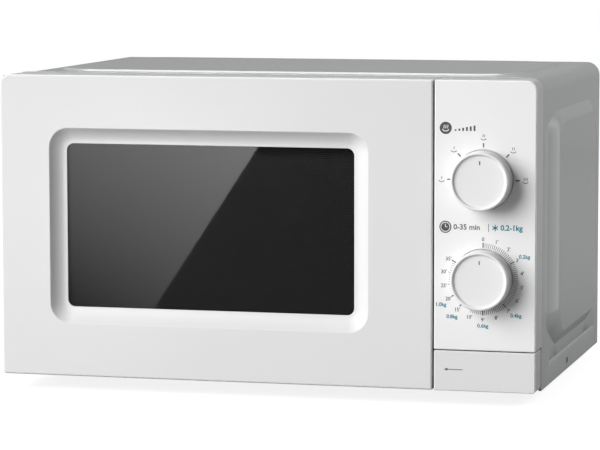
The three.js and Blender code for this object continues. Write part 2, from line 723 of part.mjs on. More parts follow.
// The window's funnel: it narrows from the front face to the glass.
function windowFunnel(margin) {
  const ring = (spread, y) => {
    const outline = roundedRectangle(
      [WINDOW.left - spread, WINDOW.right + spread],
      [WINDOW.bottom - spread, WINDOW.top + spread],
      evenCorners(WINDOW.corner + spread * 0.8),
    );
    return outline.extractPoints(4).shape.map((p) => new THREE.Vector3(p.x, y, p.y));
  };
  const past = BEVEL_WIDTH / BEVEL_DEPTH;
  return new ConvexGeometry([...ring(BEVEL_WIDTH + past + margin, -1), ...ring(margin, BEVEL_DEPTH)]);
}

function doorFrame() {
  const pocket = block(
    [DOOR_LEFT + HINGE.edge, DOOR_RIGHT - DOOR_WALL],
    [DOOR_WALL, FASCIA_DEPTH + 1],
    [DOOR_WALL, FRONT_HEIGHT - DOOR_WALL],
  );
  const lap = GLASS.lap + 2;
  const seatBack = GLASS.front + GLASS.thick + GAP;
  const rim = block(
    [WINDOW.left - lap, WINDOW.right + lap],
    [BEVEL_DEPTH - 2, seatBack],
    [WINDOW.bottom - lap, WINDOW.top + lap],
  );
  const bosses = [HINGE_UPPER, HINGE_LOWER].map((h) =>
    block([DOOR_LEFT + 2, HINGE.x + 9], [DOOR_WALL - 1, FASCIA_DEPTH - 0.5], h.boss),
  );
  const springStop = block([HOOK.x - 5, HOOK.x + 5], [DOOR_WALL - 1, 23], [226, 229]);
  const funnelWall = common(windowFunnel(2.5), block([-219, 137], [0.5, 30], [1, 240]));
  const body = join(cut(doorMass(), pocket), funnelWall, rim, ...bosses, springStop);
  const seat = block(
    [WINDOW.left - GLASS.lap - GAP, WINDOW.right + GLASS.lap + GAP],
    [BEVEL_DEPTH, seatBack + 1],
    [WINDOW.bottom - GLASS.lap - GAP, WINDOW.top + GLASS.lap + GAP],
  );
  const hingeCuts = [HINGE_UPPER, HINGE_LOWER].flatMap(({ arm, pin }) => [
    block([DOOR_LEFT - 1, HINGE.x + 5], [HINGE.y - 6.5, FASCIA_DEPTH + 1], [arm[0] - 0.5, arm[1] + 0.5]),
    rod("z", HINGE.pin + GAP, [pin[0] - 0.5, pin[1] + 0.5], [HINGE.x, HINGE.y]),
  ]);
  return piece("door_frame", cut(body, windowFunnel(0), seat, ...hingeCuts), MATERIALS.whitePlastic);
}

function doorGlass() {
  const pane = block(
    [WINDOW.left - GLASS.lap, WINDOW.right + GLASS.lap],
    [GLASS.front, GLASS.front + GLASS.thick],
    [WINDOW.bottom - GLASS.lap, WINDOW.top + GLASS.lap],
  );
  return piece("door_glass", pane, MATERIALS.darkGlass);
}

const LINER_LEFT = DOOR_LEFT + HINGE.edge + 0.6; // left edge of what lines the door's inner side
const SCREEN = { x: [LINER_LEFT, 113], y: [12.2, 23], z: [4, 240], thick: 0.8 };

// The door's steel panel: the perforated screen in the middle and a folded edge that keeps
// the microwaves in.
function doorScreen() {
  const { x, y, z, thick } = SCREEN;
  const tray = block(x, y, z);
  const hollow = block(
    [x[0] + thick, x[1] - thick],
    [y[0] + thick, y[1] + 1],
    [z[0] + thick, z[1] - thick],
  );
  return piece("door_screen", cut(tray, hollow, ...hingeNotches()), MATERIALS.screenSteel);
}

// Room round both hinges in what lines the door's inner side.
function hingeNotches() {
  const spans = [[220, 250], [-5, 24]];
  return spans.map((z) => block([DOOR_LEFT, HINGE.x + 10], [0, FASCIA_DEPTH + 12], z));
}

// The plastic ring on the door's inner side that covers the folded edge.
function chokeCover() {
  const y = [24.3, FASCIA_DEPTH - 0.4];
  const lap = 10;
  const sheet = block(
    [LINER_LEFT, DOOR_RIGHT - DOOR_WALL - 0.6],
    y,
    [DOOR_WALL + 1, FRONT_HEIGHT - DOOR_WALL - 1],
  );
  const skirt = block(
    [WINDOW.left - lap, WINDOW.right + lap],
    [SCREEN.y[0] + SCREEN.thick + GAP, y[1]],
    [WINDOW.bottom - lap, WINDOW.top + lap],
  );
  const opening = block(
    [WINDOW.left - lap + 2, WINDOW.right + lap - 2],
    [0, 40],
    [WINDOW.bottom - lap + 2, WINDOW.top + lap - 2],
  );
  const hookSlots = [HOOK.lower, HOOK.upper].map((z) =>
    block([HOOK.x - 4.2, HOOK.x + 4.2], [20, 40], [z - 1, z + HOOK.height + 10]),
  );
  const tools = [opening, ...hookSlots, ...hingeNotches()];
  return piece("choke_cover", cut(join(sheet, skirt), ...tools), MATERIALS.greyPlastic);
}

// Both latch hooks stand on one bar, so they rise together.
function latchHooks() {
  const bar = block([HOOK.x - 3.5, HOOK.x + 3.5], [17, 21], [28, 205]);
  const hooks = [HOOK.lower, HOOK.upper].map((z) => {
    const arm = block([HOOK.x - 3, HOOK.x + 3], [20, HOOK.tip], [z, z + HOOK.height]);
    const barb = new ConvexGeometry(
      [-3, 3].flatMap((dx) => [
        new THREE.Vector3(HOOK.x + dx, HOOK.tip - 11, z + HOOK.height - 1),
        new THREE.Vector3(HOOK.x + dx, HOOK.tip - 9, z + HOOK.height + 4),
        new THREE.Vector3(HOOK.x + dx, HOOK.tip, z + HOOK.height - 1),
      ]),
    );
    return join(arm, barb);
  });
  return piece("latch_hooks", join(bar, ...hooks), MATERIALS.greyPlastic);
}

const LATCH_SPRING = { radius: 3, bottom: 205.4, top: 225.6 };

function latchSpring() {
  const { radius, bottom, top } = LATCH_SPRING;
  const mesh = piece("latch_spring", spring(radius, top - bottom, 5, 0.5), MATERIALS.springSteel);
  mesh.position.set(HOOK.x, 19, bottom);
  return mesh;
}

// A steel arm through the front plate, with an upright pin in the door's boss.
function hinge(name, { arm, pin }, foot) {
  const at = [HINGE.x, HINGE.y];
  const bar = block([HINGE.x - 4, HINGE.x + 4], [HINGE.y, PLATE_BACK + 1], arm);
  const nose = rod("z", 4, arm, at);
  const pinRod = rod("z", HINGE.pin, pin, at);
  const plate = block([HINGE.x - 5.5, HINGE.x + 5.5], [PLATE_BACK + GAP, PLATE_BACK + 1.8], foot);
  return piece(name, join(bar, nose, pinRod, plate), MATERIALS.zincSteel);
}

// ---------------------------------------------------------------- control panel

const PANEL_RIGHT = FRONT_WIDTH / 2;
const PANEL_WALL = 2.5;
const BUTTON_SKIRT = 24.4; // how far back the button's sides reach
const BUTTON_WALL = 2;

// The panel is a shallow tray. Under it, a smaller hollow block guides the open button.
function controlPanel() {
  const face = roundedRectangle(
    [PANEL_LEFT, PANEL_RIGHT],
    [PANEL_BOTTOM, FRONT_HEIGHT],
    [0.5, 0.5, TOP_CORNER, 1],
  );
  const inside = roundedRectangle(
    [PANEL_LEFT + PANEL_WALL, PANEL_RIGHT - PANEL_WALL],
    [PANEL_BOTTOM + PANEL_WALL, FRONT_HEIGHT - PANEL_WALL],
    [0.5, 0.5, TOP_CORNER - PANEL_WALL, 1],
  );
  const upper = cut(slab(face, 0, FASCIA_DEPTH), slab(inside, 3, FASCIA_DEPTH + 1));
  const guideX = [PANEL_LEFT + BUTTON_WALL + 0.6, PANEL_RIGHT - BUTTON_WALL - 0.6];
  const guideZ = [BUTTON_WALL + 0.6, BUTTON_TOP - BUTTON_WALL - 0.6];
  const guide = block(guideX, [10, FASCIA_DEPTH], guideZ);
  const web = block(guideX, [20, FASCIA_DEPTH], [guideZ[1] - 1, PANEL_BOTTOM + 1]);
  const hollow = block(
    [guideX[0] + 2, guideX[1] - 2],
    [9, FASCIA_DEPTH - 3],
    [guideZ[0] + 2, guideZ[1] - 2],
  );
  const stemHole = block(
    [STEM_X - 3.5, STEM_X + 3.5],
    [20, 40],
    [LEVER.z - LEVER.arm - 3, LEVER.z - LEVER.arm + 3],
  );
  const shaftHoles = [POWER_Z, TIMER_Z].map((z) => rod("y", SHAFT_RADIUS + 0.8, [-1, 4], [KNOB_X, z]));
  const posts = UNIT_POSTS.map(([x, z]) => rod("y", 3, [2, UNIT_FRONT - GAP], [x, z], 10));
  const shell = join(upper, cut(guide, hollow), web, ...posts);
  return piece("control_panel", cut(shell, stemHole, ...shaftHoles), MATERIALS.whitePlastic);
}

const UNIT_FRONT = 8;
const UNIT_POSTS = [POWER_Z, TIMER_Z].flatMap((z) => [[KNOB_X - 17, z + 15], [KNOB_X + 17, z - 15]]);

function openButton() {
  const face = roundedRectangle(
    [PANEL_LEFT, PANEL_RIGHT],
    [0, BUTTON_TOP],
    [1, BOTTOM_CORNER, 0.5, 0.5],
  );
  const inside = block(
    [PANEL_LEFT + BUTTON_WALL, PANEL_RIGHT - BUTTON_WALL],
    [2.5, BUTTON_SKIRT + 1],
    [BUTTON_WALL, BUTTON_TOP - BUTTON_WALL],
  );
  const topRelief = block(
    [PANEL_LEFT + BUTTON_WALL, PANEL_RIGHT - BUTTON_WALL],
    [12, BUTTON_SKIRT + 1],
    [BUTTON_TOP - 6, BUTTON_TOP + 1],
  );
  const cap = cut(slab(face, 0, BUTTON_SKIRT), inside, topRelief);
  const stemZ = LEVER.z - LEVER.arm;
  const stem = block([STEM_X - 2, STEM_X + 2], [2, LEVER.y - 2 - GAP], [stemZ - 1.5, stemZ + 1.5]);
  return piece("open_button", join(cap, stem), MATERIALS.whitePlastic);
}

function knob(name, z) {
  const r = KNOB_RADIUS;
  const front = KNOB_PROUD;
  const profile = [
    [0, 0.6], [r, 0.6], [r - 0.5, front - 3], [r - 1.6, front], [r - 3.4, front],
    [r - 4.2, front - 1], [0, front - 2],
  ];
  const body = turned(profile, 32);
  const socket = rod("z", SHAFT_RADIUS + GAP, [-1, 11], [0, 0], 12);
  const pointer = block([-0.7, 0.7], [12.5, 17.5], [front - 2.5, front - 1]);
  const mesh = piece(name, join(cut(body, socket), pointer), MATERIALS.whitePlastic);
  mesh.rotation.x = Math.PI / 2;
  mesh.position.set(KNOB_X, 0, z);
  return mesh;
}

function knobShaft(name, z) {
  const bar = rod("y", SHAFT_RADIUS, [-10.4, 18], [KNOB_X, z], 12);
  return piece(name, bar, MATERIALS.zincSteel);
}

function controlUnit(name, z, half, back) {
  const at = [KNOB_X, z];
  const plate = (inset, y) => {
    const [width, height] = [half - inset, half - inset - 2.5];
    return block([KNOB_X - width, KNOB_X + width], y, [z - height, z + height]);
  };
  const base = plate(0, [UNIT_FRONT, UNIT_FRONT + 2]);
  const body = plate(3, [UNIT_FRONT + 1, back]);
  const bell = rod("y", half - 8, [back - 1, back + 6], at, 20);
  const tabs = [-8, 8].map((dx) =>
    block([KNOB_X + dx - 3, KNOB_X + dx + 3], [back - 12, back - 11.2], [z + half - 6, z + half + 1]),
  );
  const bearing = rod("y", SHAFT_RADIUS + GAP, [UNIT_FRONT - 1, 19], at, 12);
  return piece(name, cut(join(base, body, bell, ...tabs), bearing), MATERIALS.greyPlastic);
}

// ---------------------------------------------------------------- door release and interlocks

const BRACKET = { x: [128.6, 131.6], y: [PLATE_BACK + GAP, 76], z: [10, 216] };
const RETURN_SPRING = { x: 140, y: 49, bottom: LEVER.z + 2.4, top: 59.4, radius: 4 };

function interlockBracket() {
  const { x, y, z } = BRACKET;
  const web = block(x, y, z);
  const flange = block([x[0], 147], [y[0], y[0] + 2], [z[0] + 60, z[1]]);
  const springStop = block([x[0], RETURN_SPRING.x + 7], [y[0], RETURN_SPRING.y + 7], [59.8, 62]);
  const rib = block([x[0], RETURN_SPRING.x + 7], [y[0], y[0] + 2], [59.8, z[0] + 61]);
  const bearing = rod("x", 3.4, [x[0] - 1, x[1] + 1], [LEVER.y, LEVER.z], 14);
  const shape = cut(join(web, flange, springStop, rib), bearing);
  return piece("interlock_bracket", shape, MATERIALS.blackPlastic);
}

function releaseLever() {
  const { y, z, arm } = LEVER;
  const axle = rod("x", 3, [HOOK.x - 4, STEM_X + 3], [y, z], 14);
  const pushed = block([STEM_X - 3, STEM_X + 3], [y - 2, y + 2], [z - arm - 3, z]);
  const lifting = block([HOOK.x - 3.5, HOOK.x + 3.5], [y, y + 17], [z - 2, z + 3]);
  const sprung = block([RETURN_SPRING.x - 4, RETURN_SPRING.x + 4], [y, y + 16], [z - 2, z + 2]);
  return piece("release_lever", join(axle, pushed, lifting, sprung), MATERIALS.greyPlastic);
}

function returnSpring() {
  const { x, y, bottom, top, radius } = RETURN_SPRING;
  const mesh = piece("return_spring", spring(radius, top - bottom, 5, 0.5), MATERIALS.springSteel);
  mesh.position.set(x, y, bottom);
  return mesh;
}

function microswitch(name, z) {
  const x = [118.2, BRACKET.x[0] - GAP];
  const front = HOOK.tip + 1.6;
  const body = block(x, [front, front + 15.8], [z, z + 27.8]);
  const plunger = block([HOOK.x - 1.5, HOOK.x + 1.5], [front - 1.2, front + 1], [z + 10, z + 14]);
  const tabs = [4, 14, 24].map((dz) =>
    block([x[0] + 3, x[0] + 7], [front + 15, front + 22], [z + dz - 0.4, z + dz + 0.4]),
  );
  const rivets = [[4, 6], [12, 22]].map(([dy, dz]) =>
    rod("x", 1.6, [x[0] - 1, x[1] + 1], [front + dy, z + dz], 10),
  );
  return piece(name, cut(join(body, plunger, ...tabs), ...rivets), MATERIALS.blackPlastic);
}

// ---------------------------------------------------------------- the whole oven

const oven = new THREE.Group();
const pieces = new THREE.Group();
const OVERALL_DEPTH = KNOB_PROUD + BODY_DEPTH + SCREW_PROUD;
pieces.position.set(0, KNOB_PROUD - OVERALL_DEPTH / 2, FOOT_HEIGHT);
oven.add(pieces);

pieces.add(
  cabinet(),
  cabinetScrew("cabinet_screw_left", -1),
  cabinetScrew("cabinet_screw_right", 1),
  rearPanel(),
  cordInlet(),
  basePlate(),
  ...FEET.map(foot),
  frontPlate(),
  cavityFloor(),
  cavityRoof(),
  cavityLeftWall(),
  cavityRightWall(),
  cavityRearWall(),
  waveguideCover(),
  waveguide(),
  magnetron(),
  magnetronFins(),
  transformerCore(),
  transformerWindings(),
  capacitor(),
  highVoltageDiode(),
  airDuct(),
  fanMotor(),
  fanBlade(),
  ovenLamp(),
  lampHolder(),
  thermalCutout(),
  filterBoard(),
  turntableMotor(),
  turntableCoupler(),
  rollerRing(),
  roller(0),
  roller(1),
  roller(2),
  glassTray(),
  doorFrame(),
  doorGlass(),
  doorScreen(),
  chokeCover(),
  latchHooks(),
  latchSpring(),
  hinge("hinge_upper", HINGE_UPPER, [208, 238]),
  hinge("hinge_lower", HINGE_LOWER, [BASE_TOP + GAP, 36]),
  controlPanel(),
  openButton(),
  knob("power_knob", POWER_Z),
  knobShaft("power_shaft", POWER_Z),
  controlUnit("power_unit", POWER_Z, 20, 40),
  knob("timer_knob", TIMER_Z),
  knobShaft("timer_shaft", TIMER_Z),
  controlUnit("timer_unit", TIMER_Z, 24, 50),
  interlockBracket(),
  releaseLever(),
  returnSpring(),
  microswitch("primary_microswitch", HOOK.upper - 10),
  microswitch("secondary_microswitch", HOOK.lower - 10),
  microswitch("monitor_microswitch", HOOK.lower + 22),
);

export default oven;
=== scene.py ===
"""Looks of a counter-top microwave oven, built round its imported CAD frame.

Shapes are laid out in millimetres in the front panel's frame, as in the CAD source: X runs to the
user's right, Y counts back from the front face of the door and Z counts up from the door's bottom
edge. The function placed() turns such a point into the row frame in metres.
"""

import json
import math

import bmesh
import bpy
from mathutils import Euler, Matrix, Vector


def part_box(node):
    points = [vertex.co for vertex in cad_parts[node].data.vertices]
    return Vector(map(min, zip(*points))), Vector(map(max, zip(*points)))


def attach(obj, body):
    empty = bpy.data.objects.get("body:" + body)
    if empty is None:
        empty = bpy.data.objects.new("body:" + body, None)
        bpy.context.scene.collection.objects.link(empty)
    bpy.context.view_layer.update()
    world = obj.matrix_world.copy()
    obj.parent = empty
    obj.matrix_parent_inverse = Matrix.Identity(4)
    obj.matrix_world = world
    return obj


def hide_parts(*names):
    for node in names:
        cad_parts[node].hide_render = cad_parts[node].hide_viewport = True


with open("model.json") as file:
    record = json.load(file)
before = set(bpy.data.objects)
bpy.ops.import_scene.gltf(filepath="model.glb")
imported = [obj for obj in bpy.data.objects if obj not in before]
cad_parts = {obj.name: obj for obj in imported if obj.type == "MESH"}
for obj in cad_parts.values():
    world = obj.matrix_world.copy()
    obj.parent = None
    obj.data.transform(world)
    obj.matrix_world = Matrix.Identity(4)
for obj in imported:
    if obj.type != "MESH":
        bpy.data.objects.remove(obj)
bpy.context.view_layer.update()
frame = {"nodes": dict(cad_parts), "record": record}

MM = 0.001
FACE_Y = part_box("door_frame")[0].y
DOOR_FOOT_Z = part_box("door_frame")[0].z


def placed(point):
    x, y, z = point
    return Vector((x * MM, y * MM + FACE_Y, z * MM + DOOR_FOOT_Z))


def measured(node):
    """A CAD node's limits along X, Y and Z in millimetres in the front panel's frame."""
    low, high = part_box(node)
    offset = (0, FACE_Y, DOOR_FOOT_Z)
    return [((low[i] - offset[i]) / MM, (high[i] - offset[i]) / MM) for i in range(3)]


def widened(span, gap):
    return (span[0] - gap, span[1] + gap)


(DOOR_LEFT, DOOR_RIGHT), (_, FASCIA_BACK), (_, FRONT_TOP) = measured("door_frame")
GLASS_LAP = 4
WINDOW_X, _, WINDOW_Z = (widened(span, -GLASS_LAP) for span in measured("door_glass"))
BEVEL_WIDTH = 13.9
WINDOW_MIDDLE = [sum(span) / 2 for span in (WINDOW_X, WINDOW_Z)]
WINDOW_REACH = [(span[1] - span[0]) / 2 + BEVEL_WIDTH + 5 for span in (WINDOW_X, WINDOW_Z)]

# ---------- camera and light

CAMERA_SPOT = (0.6294, -2.44255, 0.3855)
CAMERA_TURN = (84.095, 0.08, 14.62)
CAMERA_LENS = 180.86
OVEN_MIDDLE = Vector((0, 0, 0.13))
WHITE = (1, 1, 1, 1)
FADE = (-0.1, 0.6)  # the backdrop's light grows between these directions along Y
SHEEN_Y = -0.4
SHEEN_CORNERS = [(-0.069, 0.193), (-0.194, 0.004), (-0.262, 0.004), (-0.262, 0.193)]
SHEEN_GLOW = 2.68
SHEEN_SLOPE = (11.6, 0, 23.1)  # the card grows brighter upwards and to the right
SHEEN_LEAST = 0.2
OVERHEAD_SPAN = ((-1.3, 0.9), (0.08, 0.6))
OVERHEAD_HEIGHT = 1.2
OVERHEAD_GLOW = 9.5
SIDE_NEAR = (0.603, 0.241)
SIDE_FAR = (0.40, 0.392)
SIDE_HEIGHTS = (0.002, 0.4)
SIDE_GLOW = 0.95
FLOOR_HALF = 2.5
FLOOR_GLOW = 0.86
FLOOR_TONE = 0.3


def in_scene(name, data):
    obj = bpy.data.objects.new(name, data)
    bpy.context.scene.collection.objects.link(obj)
    return obj


class Nodes:
    """Shader nodes of a world or a material, made one by one from their inputs."""

    def __init__(self, owner, empty=True):
        owner.use_nodes = True
        self.tree = owner.node_tree
        if empty:
            self.tree.nodes.clear()

    def feed(self, socket, value):
        if isinstance(value, bpy.types.NodeSocket):
            self.tree.links.new(value, socket)
        else:
            socket.default_value = value

    def node(self, kind, **inputs):
        """A new node; the names of its inputs are written with _ for a space."""
        made = self.tree.nodes.new("ShaderNode" + kind)
        for socket, value in inputs.items():
            self.feed(made.inputs[socket.replace("_", " ")], value)
        return made

    def operation(self, kind, operation, values):
        made = self.node(kind)
        made.operation = operation
        for socket, value in zip(made.inputs, values):
            self.feed(socket, value)
        return made.outputs

    def math(self, operation, *values):
        return self.operation("Math", operation, values)[0]

    def vector(self, operation, *values):
        outputs = self.operation("VectorMath", operation, values)
        return outputs["Value" if operation in ("LENGTH", "DOT_PRODUCT") else "Vector"]

    def glow(self, strength):
        return self.node("Emission", Color=WHITE, Strength=strength).outputs[0]

    def for_camera(self, seen, lit):
        """One shader for what the camera sees directly, another for the light it gives."""
        mix = self.node("MixShader", Fac=self.node("LightPath").outputs["Is Camera Ray"])
        self.feed(mix.inputs[1], lit)
        self.feed(mix.inputs[2], seen)
        return mix.outputs[0]


def make_camera():
    data = bpy.data.cameras.new("camera")
    data.lens = CAMERA_LENS
    camera = in_scene("camera", data)
    camera.location = CAMERA_SPOT
    camera.rotation_euler = Euler([math.radians(angle) for angle in CAMERA_TURN])
    bpy.context.scene.camera = camera


def lamp(name, towards, distance, size, level):
    """A round soft light; level is about the brightness of a white surface that faces it."""
    data = bpy.data.lights.new(name, "AREA")
    data.shape = "DISK"
    data.size = size
    data.energy = level * (math.pi * distance) ** 2
    light = in_scene(name, data)
    direction = Vector(towards).normalized()
    light.location = OVEN_MIDDLE + direction * distance
    light.rotation_euler = direction.to_track_quat("Z", "Y").to_euler()
    light.visible_glossy = False


def make_world(seen, front, back):
    """A white backdrop; the light it gives is faint from the front and stronger from behind."""
    world = bpy.data.worlds.new("studio")
    nodes = Nodes(world)
    split = nodes.node("SeparateXYZ", Vector=nodes.node("TexCoord").outputs["Generated"])
    rise = nodes.node("MapRange", Value=split.outputs["Y"], To_Min=front, To_Max=back)
    rise.interpolation_type = "SMOOTHSTEP"
    rise.inputs["From Min"].default_value, rise.inputs["From Max"].default_value = FADE
    fill = nodes.node("Background", Color=WHITE, Strength=rise.outputs[0])
    backdrop = nodes.node("Background", Color=(seen, seen, seen, 1))
    shader = nodes.for_camera(backdrop.outputs[0], fill.outputs[0])
    nodes.node("OutputWorld", Surface=shader)
    bpy.context.scene.world = world


def glowing(name, strength):
    """A material that only gives off white light."""
    material = bpy.data.materials.new(name)
    nodes = Nodes(material)
    nodes.node("OutputMaterial", Surface=nodes.glow(strength))
    return material


def sheet(name, points, material):
    """A flat face with four corners, in metres."""
    mesh = bpy.data.meshes.new(name)
    mesh.from_pydata(points, [], [(0, 1, 2, 3)])
    mesh.materials.append(material)
    return in_scene(name, mesh)


def make_card(name, points, glow):
    """A bright card that is never seen itself, only as gloss on the oven."""
    card = sheet(name, points, glow)
    for ray in ("camera", "diffuse", "shadow", "transmission"):
        setattr(card, "visible_" + ray, False)


def make_sheen_card():
    """A card close to the door's left half: it gives the dark glass its slanted sheen."""
    material = bpy.data.materials.new("sheen_glow")
    nodes = Nodes(material)
    place = nodes.node("TexCoord").outputs["Object"]
    slope = nodes.vector("DOT_PRODUCT", place, SHEEN_SLOPE)
    strength = nodes.math("MAXIMUM", nodes.math("ADD", slope, SHEEN_GLOW), SHEEN_LEAST)
    nodes.node("OutputMaterial", Surface=nodes.glow(strength))
    make_card("sheen_card", [(x, SHEEN_Y, z) for x, z in SHEEN_CORNERS], material)


def make_overhead_card():
    """A card overhead that shows as thin bright lines along the upper edges."""
    (x0, x1), (y0, y1) = OVERHEAD_SPAN
    points = [(x, y, OVERHEAD_HEIGHT) for x, y in ((x0, y0), (x1, y0), (x1, y1), (x0, y1))]
    make_card("overhead_card", points, glowing("overhead_glow", OVERHEAD_GLOW))


def make_side_card():
    """A card behind on the right, which lights up the front slopes of the pressed side field."""
    low, high = SIDE_HEIGHTS
    points = [(*SIDE_NEAR, low), (*SIDE_FAR, low), (*SIDE_FAR, high), (*SIDE_NEAR, high)]
    make_card("side_card", points, glowing("side_glow", SIDE_GLOW))


def make_floor():
    corners = [(-1, -1), (1, -1), (1, 1), (-1, 1)]
    points = [(x * FLOOR_HALF, y * FLOOR_HALF, 0) for x, y in corners]
    floor = sheet("floor", points, floor_paper())


def floor_paper():
    """Paper that looks evenly white and throws only a little light back at the oven."""
    material = bpy.data.materials.new("floor_paper")
    nodes = Nodes(material)
    paper = nodes.node("BsdfDiffuse", Color=(FLOOR_TONE, FLOOR_TONE, FLOOR_TONE, 1)).outputs[0]
    both = nodes.node("AddShader")
    nodes.feed(both.inputs[0], nodes.glow(FLOOR_GLOW))
    nodes.feed(both.inputs[1], paper)
    nodes.node("OutputMaterial", Surface=nodes.for_camera(both.outputs[0], paper))
    return material


def make_studio():
    bpy.context.scene.view_settings.view_transform = "Standard"
    make_camera()
    make_world(seen=1.0, front=0.05, back=0.27)
    make_floor()
    make_sheen_card()
    make_overhead_card()
    make_side_card()
    lamp("key_light", towards=(-0.63, -0.67, 0.40), distance=6.0, size=5.6, level=1.52)
    lamp("side_light", towards=(0.68, 0.44, 0.48), distance=3.0, size=1.5, level=0.60)


make_studio()

# ---------- materials


class Finish(Nodes):
    """A material under construction: one Principled shader and the nodes that feed it."""

    def __init__(self, name, color, roughness, metallic=0.0):
        self.material = bpy.data.materials.new(name)
        super().__init__(self.material, empty=False)
        self.shader = self.tree.nodes["Principled BSDF"]
        self.color = color
        self.roughness = roughness
        self.set("Base Color", (*color, 1))
        self.set("Roughness", roughness)
        self.set("Metallic", metallic)
        self.place = self.node("TexCoord").outputs["Object"]

    def set(self, socket, value):
        self.feed(self.shader.inputs[socket], value)

    def noise(self, scale, stretch=(1, 1, 1)):
        at = self.vector("MULTIPLY", self.place, stretch)
        return self.node("TexNoise", Vector=at, Scale=scale, Detail=2.0).outputs["Fac"]

    def between(self, value, low, high):
        """A value from 0 to 1 carried over to the span from low to high."""
        return self.node("MapRange", Value=value, To_Min=low, To_Max=high).outputs[0]

    def mix(self, amount, first, second):
        """A blend of two colours, each a tuple or the output of a node."""
        made = self.node("Mix")
        made.data_type = "RGBA"
        self.feed(made.inputs["Factor"], amount)
        first_color, second_color = made.inputs[6:8]
        for socket, value in ((first_color, first), (second_color, second)):
            if not isinstance(value, bpy.types.NodeSocket):
                value = (*value, 1)
            self.feed(socket, value)
        return made.outputs[2]

    def speckle(self, scale, spread):
        """Small differences of tone all over: the base colour times 1 - spread to 1 + spread."""
        low = tuple(c * (1 - spread) for c in self.color)
        high = tuple(min(c * (1 + spread), 1) for c in self.color)
        tone = self.mix(self.noise(scale), low, high)
        self.set("Base Color", tone)
        return tone

    def rough(self, scale, spread, stretch=(1, 1, 1)):
        amount = self.noise(scale, stretch=stretch)
        low, high = self.roughness - spread, self.roughness + spread
        self.set("Roughness", self.between(amount, low, high))

    def bump(self, height, distance, strength=1.0):
        made = self.node("Bump", Height=height, Strength=strength)
        made.inputs["Distance"].default_value = distance
        self.set("Normal", made.outputs[0])


def moulded(name, color, roughness, grain=2500.0):
    """Moulded plastic: faint flow marks in its tone and a fine eroded texture."""
    finish = Finish(name, color, roughness)
    finish.speckle(14.0, 0.012)
    finish.rough(60.0, 0.05)
    finish.bump(finish.noise(grain), 0.00002, 0.35)
    return finish


FRONT_WHITE = (0.88, 0.88, 0.878)
# Painted shade: the door and the button are the front's white plastic, toned darker so that they read
# dimmer than the panel.
DOOR_SHADED_WHITE = (0.77, 0.77, 0.768)
BUTTON_SHADED_WHITE = (0.76, 0.76, 0.758)
KNOB_WHITE = (0.85, 0.85, 0.848)
PAINT_GREY = (0.44, 0.445, 0.447)
PAINT_LINE = 1.9  # the white coat ends this far behind the front face


def white_plastic():
    return moulded("white_plastic", KNOB_WHITE, 0.42)


def fascia_plastic(name, white, middle=(0, 0), reach=(0, 0)):
    """White in front and round the middle, where the window is set back; grey on the outer sides."""
    finish = moulded(name, white, 0.42)
    tone = finish.speckle(14.0, 0.012)
    split = finish.node("SeparateXYZ", Vector=finish.place)
    outer = finish.math("GREATER_THAN", split.outputs["Y"], FACE_Y + PAINT_LINE * MM)
    beyond = []
    for axis, centre, half in zip("XZ", placed((middle[0], 0, middle[1])).xz, reach):
        offset = finish.math("ABSOLUTE", finish.math("SUBTRACT", split.outputs[axis], centre))
        beyond.append(finish.math("GREATER_THAN", offset, half * MM))
    outer = finish.math("MULTIPLY", outer, finish.math("MAXIMUM", *beyond))
    finish.set("Base Color", finish.mix(outer, tone, PAINT_GREY))
    return finish


def silver_paint():
    finish = Finish("silver_paint", PAINT_GREY, 0.6)
    finish.speckle(900.0, 0.05)
    finish.rough(40.0, 0.04)
    finish.set("Specular IOR Level", 0.05)
    finish.set("Coat Weight", 0.6)
    finish.set("Coat Roughness", 0.08)
    finish.bump(finish.noise(700.0), 0.00003, 0.3)
    return finish


def zinc_steel():
    """Zinc coating: crystals of slightly different tone."""
    finish = Finish("zinc_steel", (0.52, 0.53, 0.54), 0.38, 0.85)
    cells = finish.node("TexVoronoi", Vector=finish.place, Scale=160.0)
    split = finish.node("SeparateColor", Color=cells.outputs["Color"])
    tone = finish.mix(split.outputs[0], (0.46, 0.47, 0.48), (0.60, 0.61, 0.62))
    finish.set("Base Color", tone)
    finish.set("Roughness", finish.between(split.outputs[1], 0.30, 0.46))
    return finish


def cavity_paint():
    finish = Finish("cavity_paint", (0.68, 0.68, 0.65), 0.45)
    finish.speckle(320.0, 0.035)
    finish.rough(120.0, 0.06)
    finish.bump(finish.noise(1100.0), 0.00004, 0.4)
    return finish


HOLE_PITCH = 1.75
HOLE_RADIUS = 0.52


def screen_steel():
    """Dark painted steel with its field of fine holes in rows set over each other. The holes are not
    cut: they are painted near black, as painted shade of the closed oven behind them.
    """
    finish = Finish("screen_steel", (0.19, 0.19, 0.195), 0.5, 0.3)
    scale = (1 / (HOLE_PITCH * MM), 0, 1 / (HOLE_PITCH * math.sqrt(3) * MM))
    cell = finish.vector("MULTIPLY", finish.place, scale)
    size = (HOLE_PITCH, 0, HOLE_PITCH * math.sqrt(3))
    distances = []
    for shift in ((0, 0, 0), (0.5, 0, 0.5)):
        inside = finish.vector("FRACTION", finish.vector("ADD", cell, shift))
        offset = finish.vector("SUBTRACT", inside, (0.5, 0, 0.5))
        distances.append(finish.vector("LENGTH", finish.vector("MULTIPLY", offset, size)))
    nearest = finish.math("MINIMUM", *distances)
    hole = finish.math("LESS_THAN", nearest, HOLE_RADIUS)
    tone = finish.speckle(200.0, 0.08)
    # Painted shade: the holes are coloured near black for the dark oven seen through them.
    finish.set("Base Color", finish.mix(hole, tone, (0.012, 0.012, 0.013)))
    finish.rough(90.0, 0.08)
    return finish


def dark_glass():
    finish = Finish("dark_glass", (0.006, 0.006, 0.007), 0.03)
    finish.rough(6.0, 0.01)
    finish.set("Alpha", 0.55)
    finish.set("IOR", 1.5)
    return finish


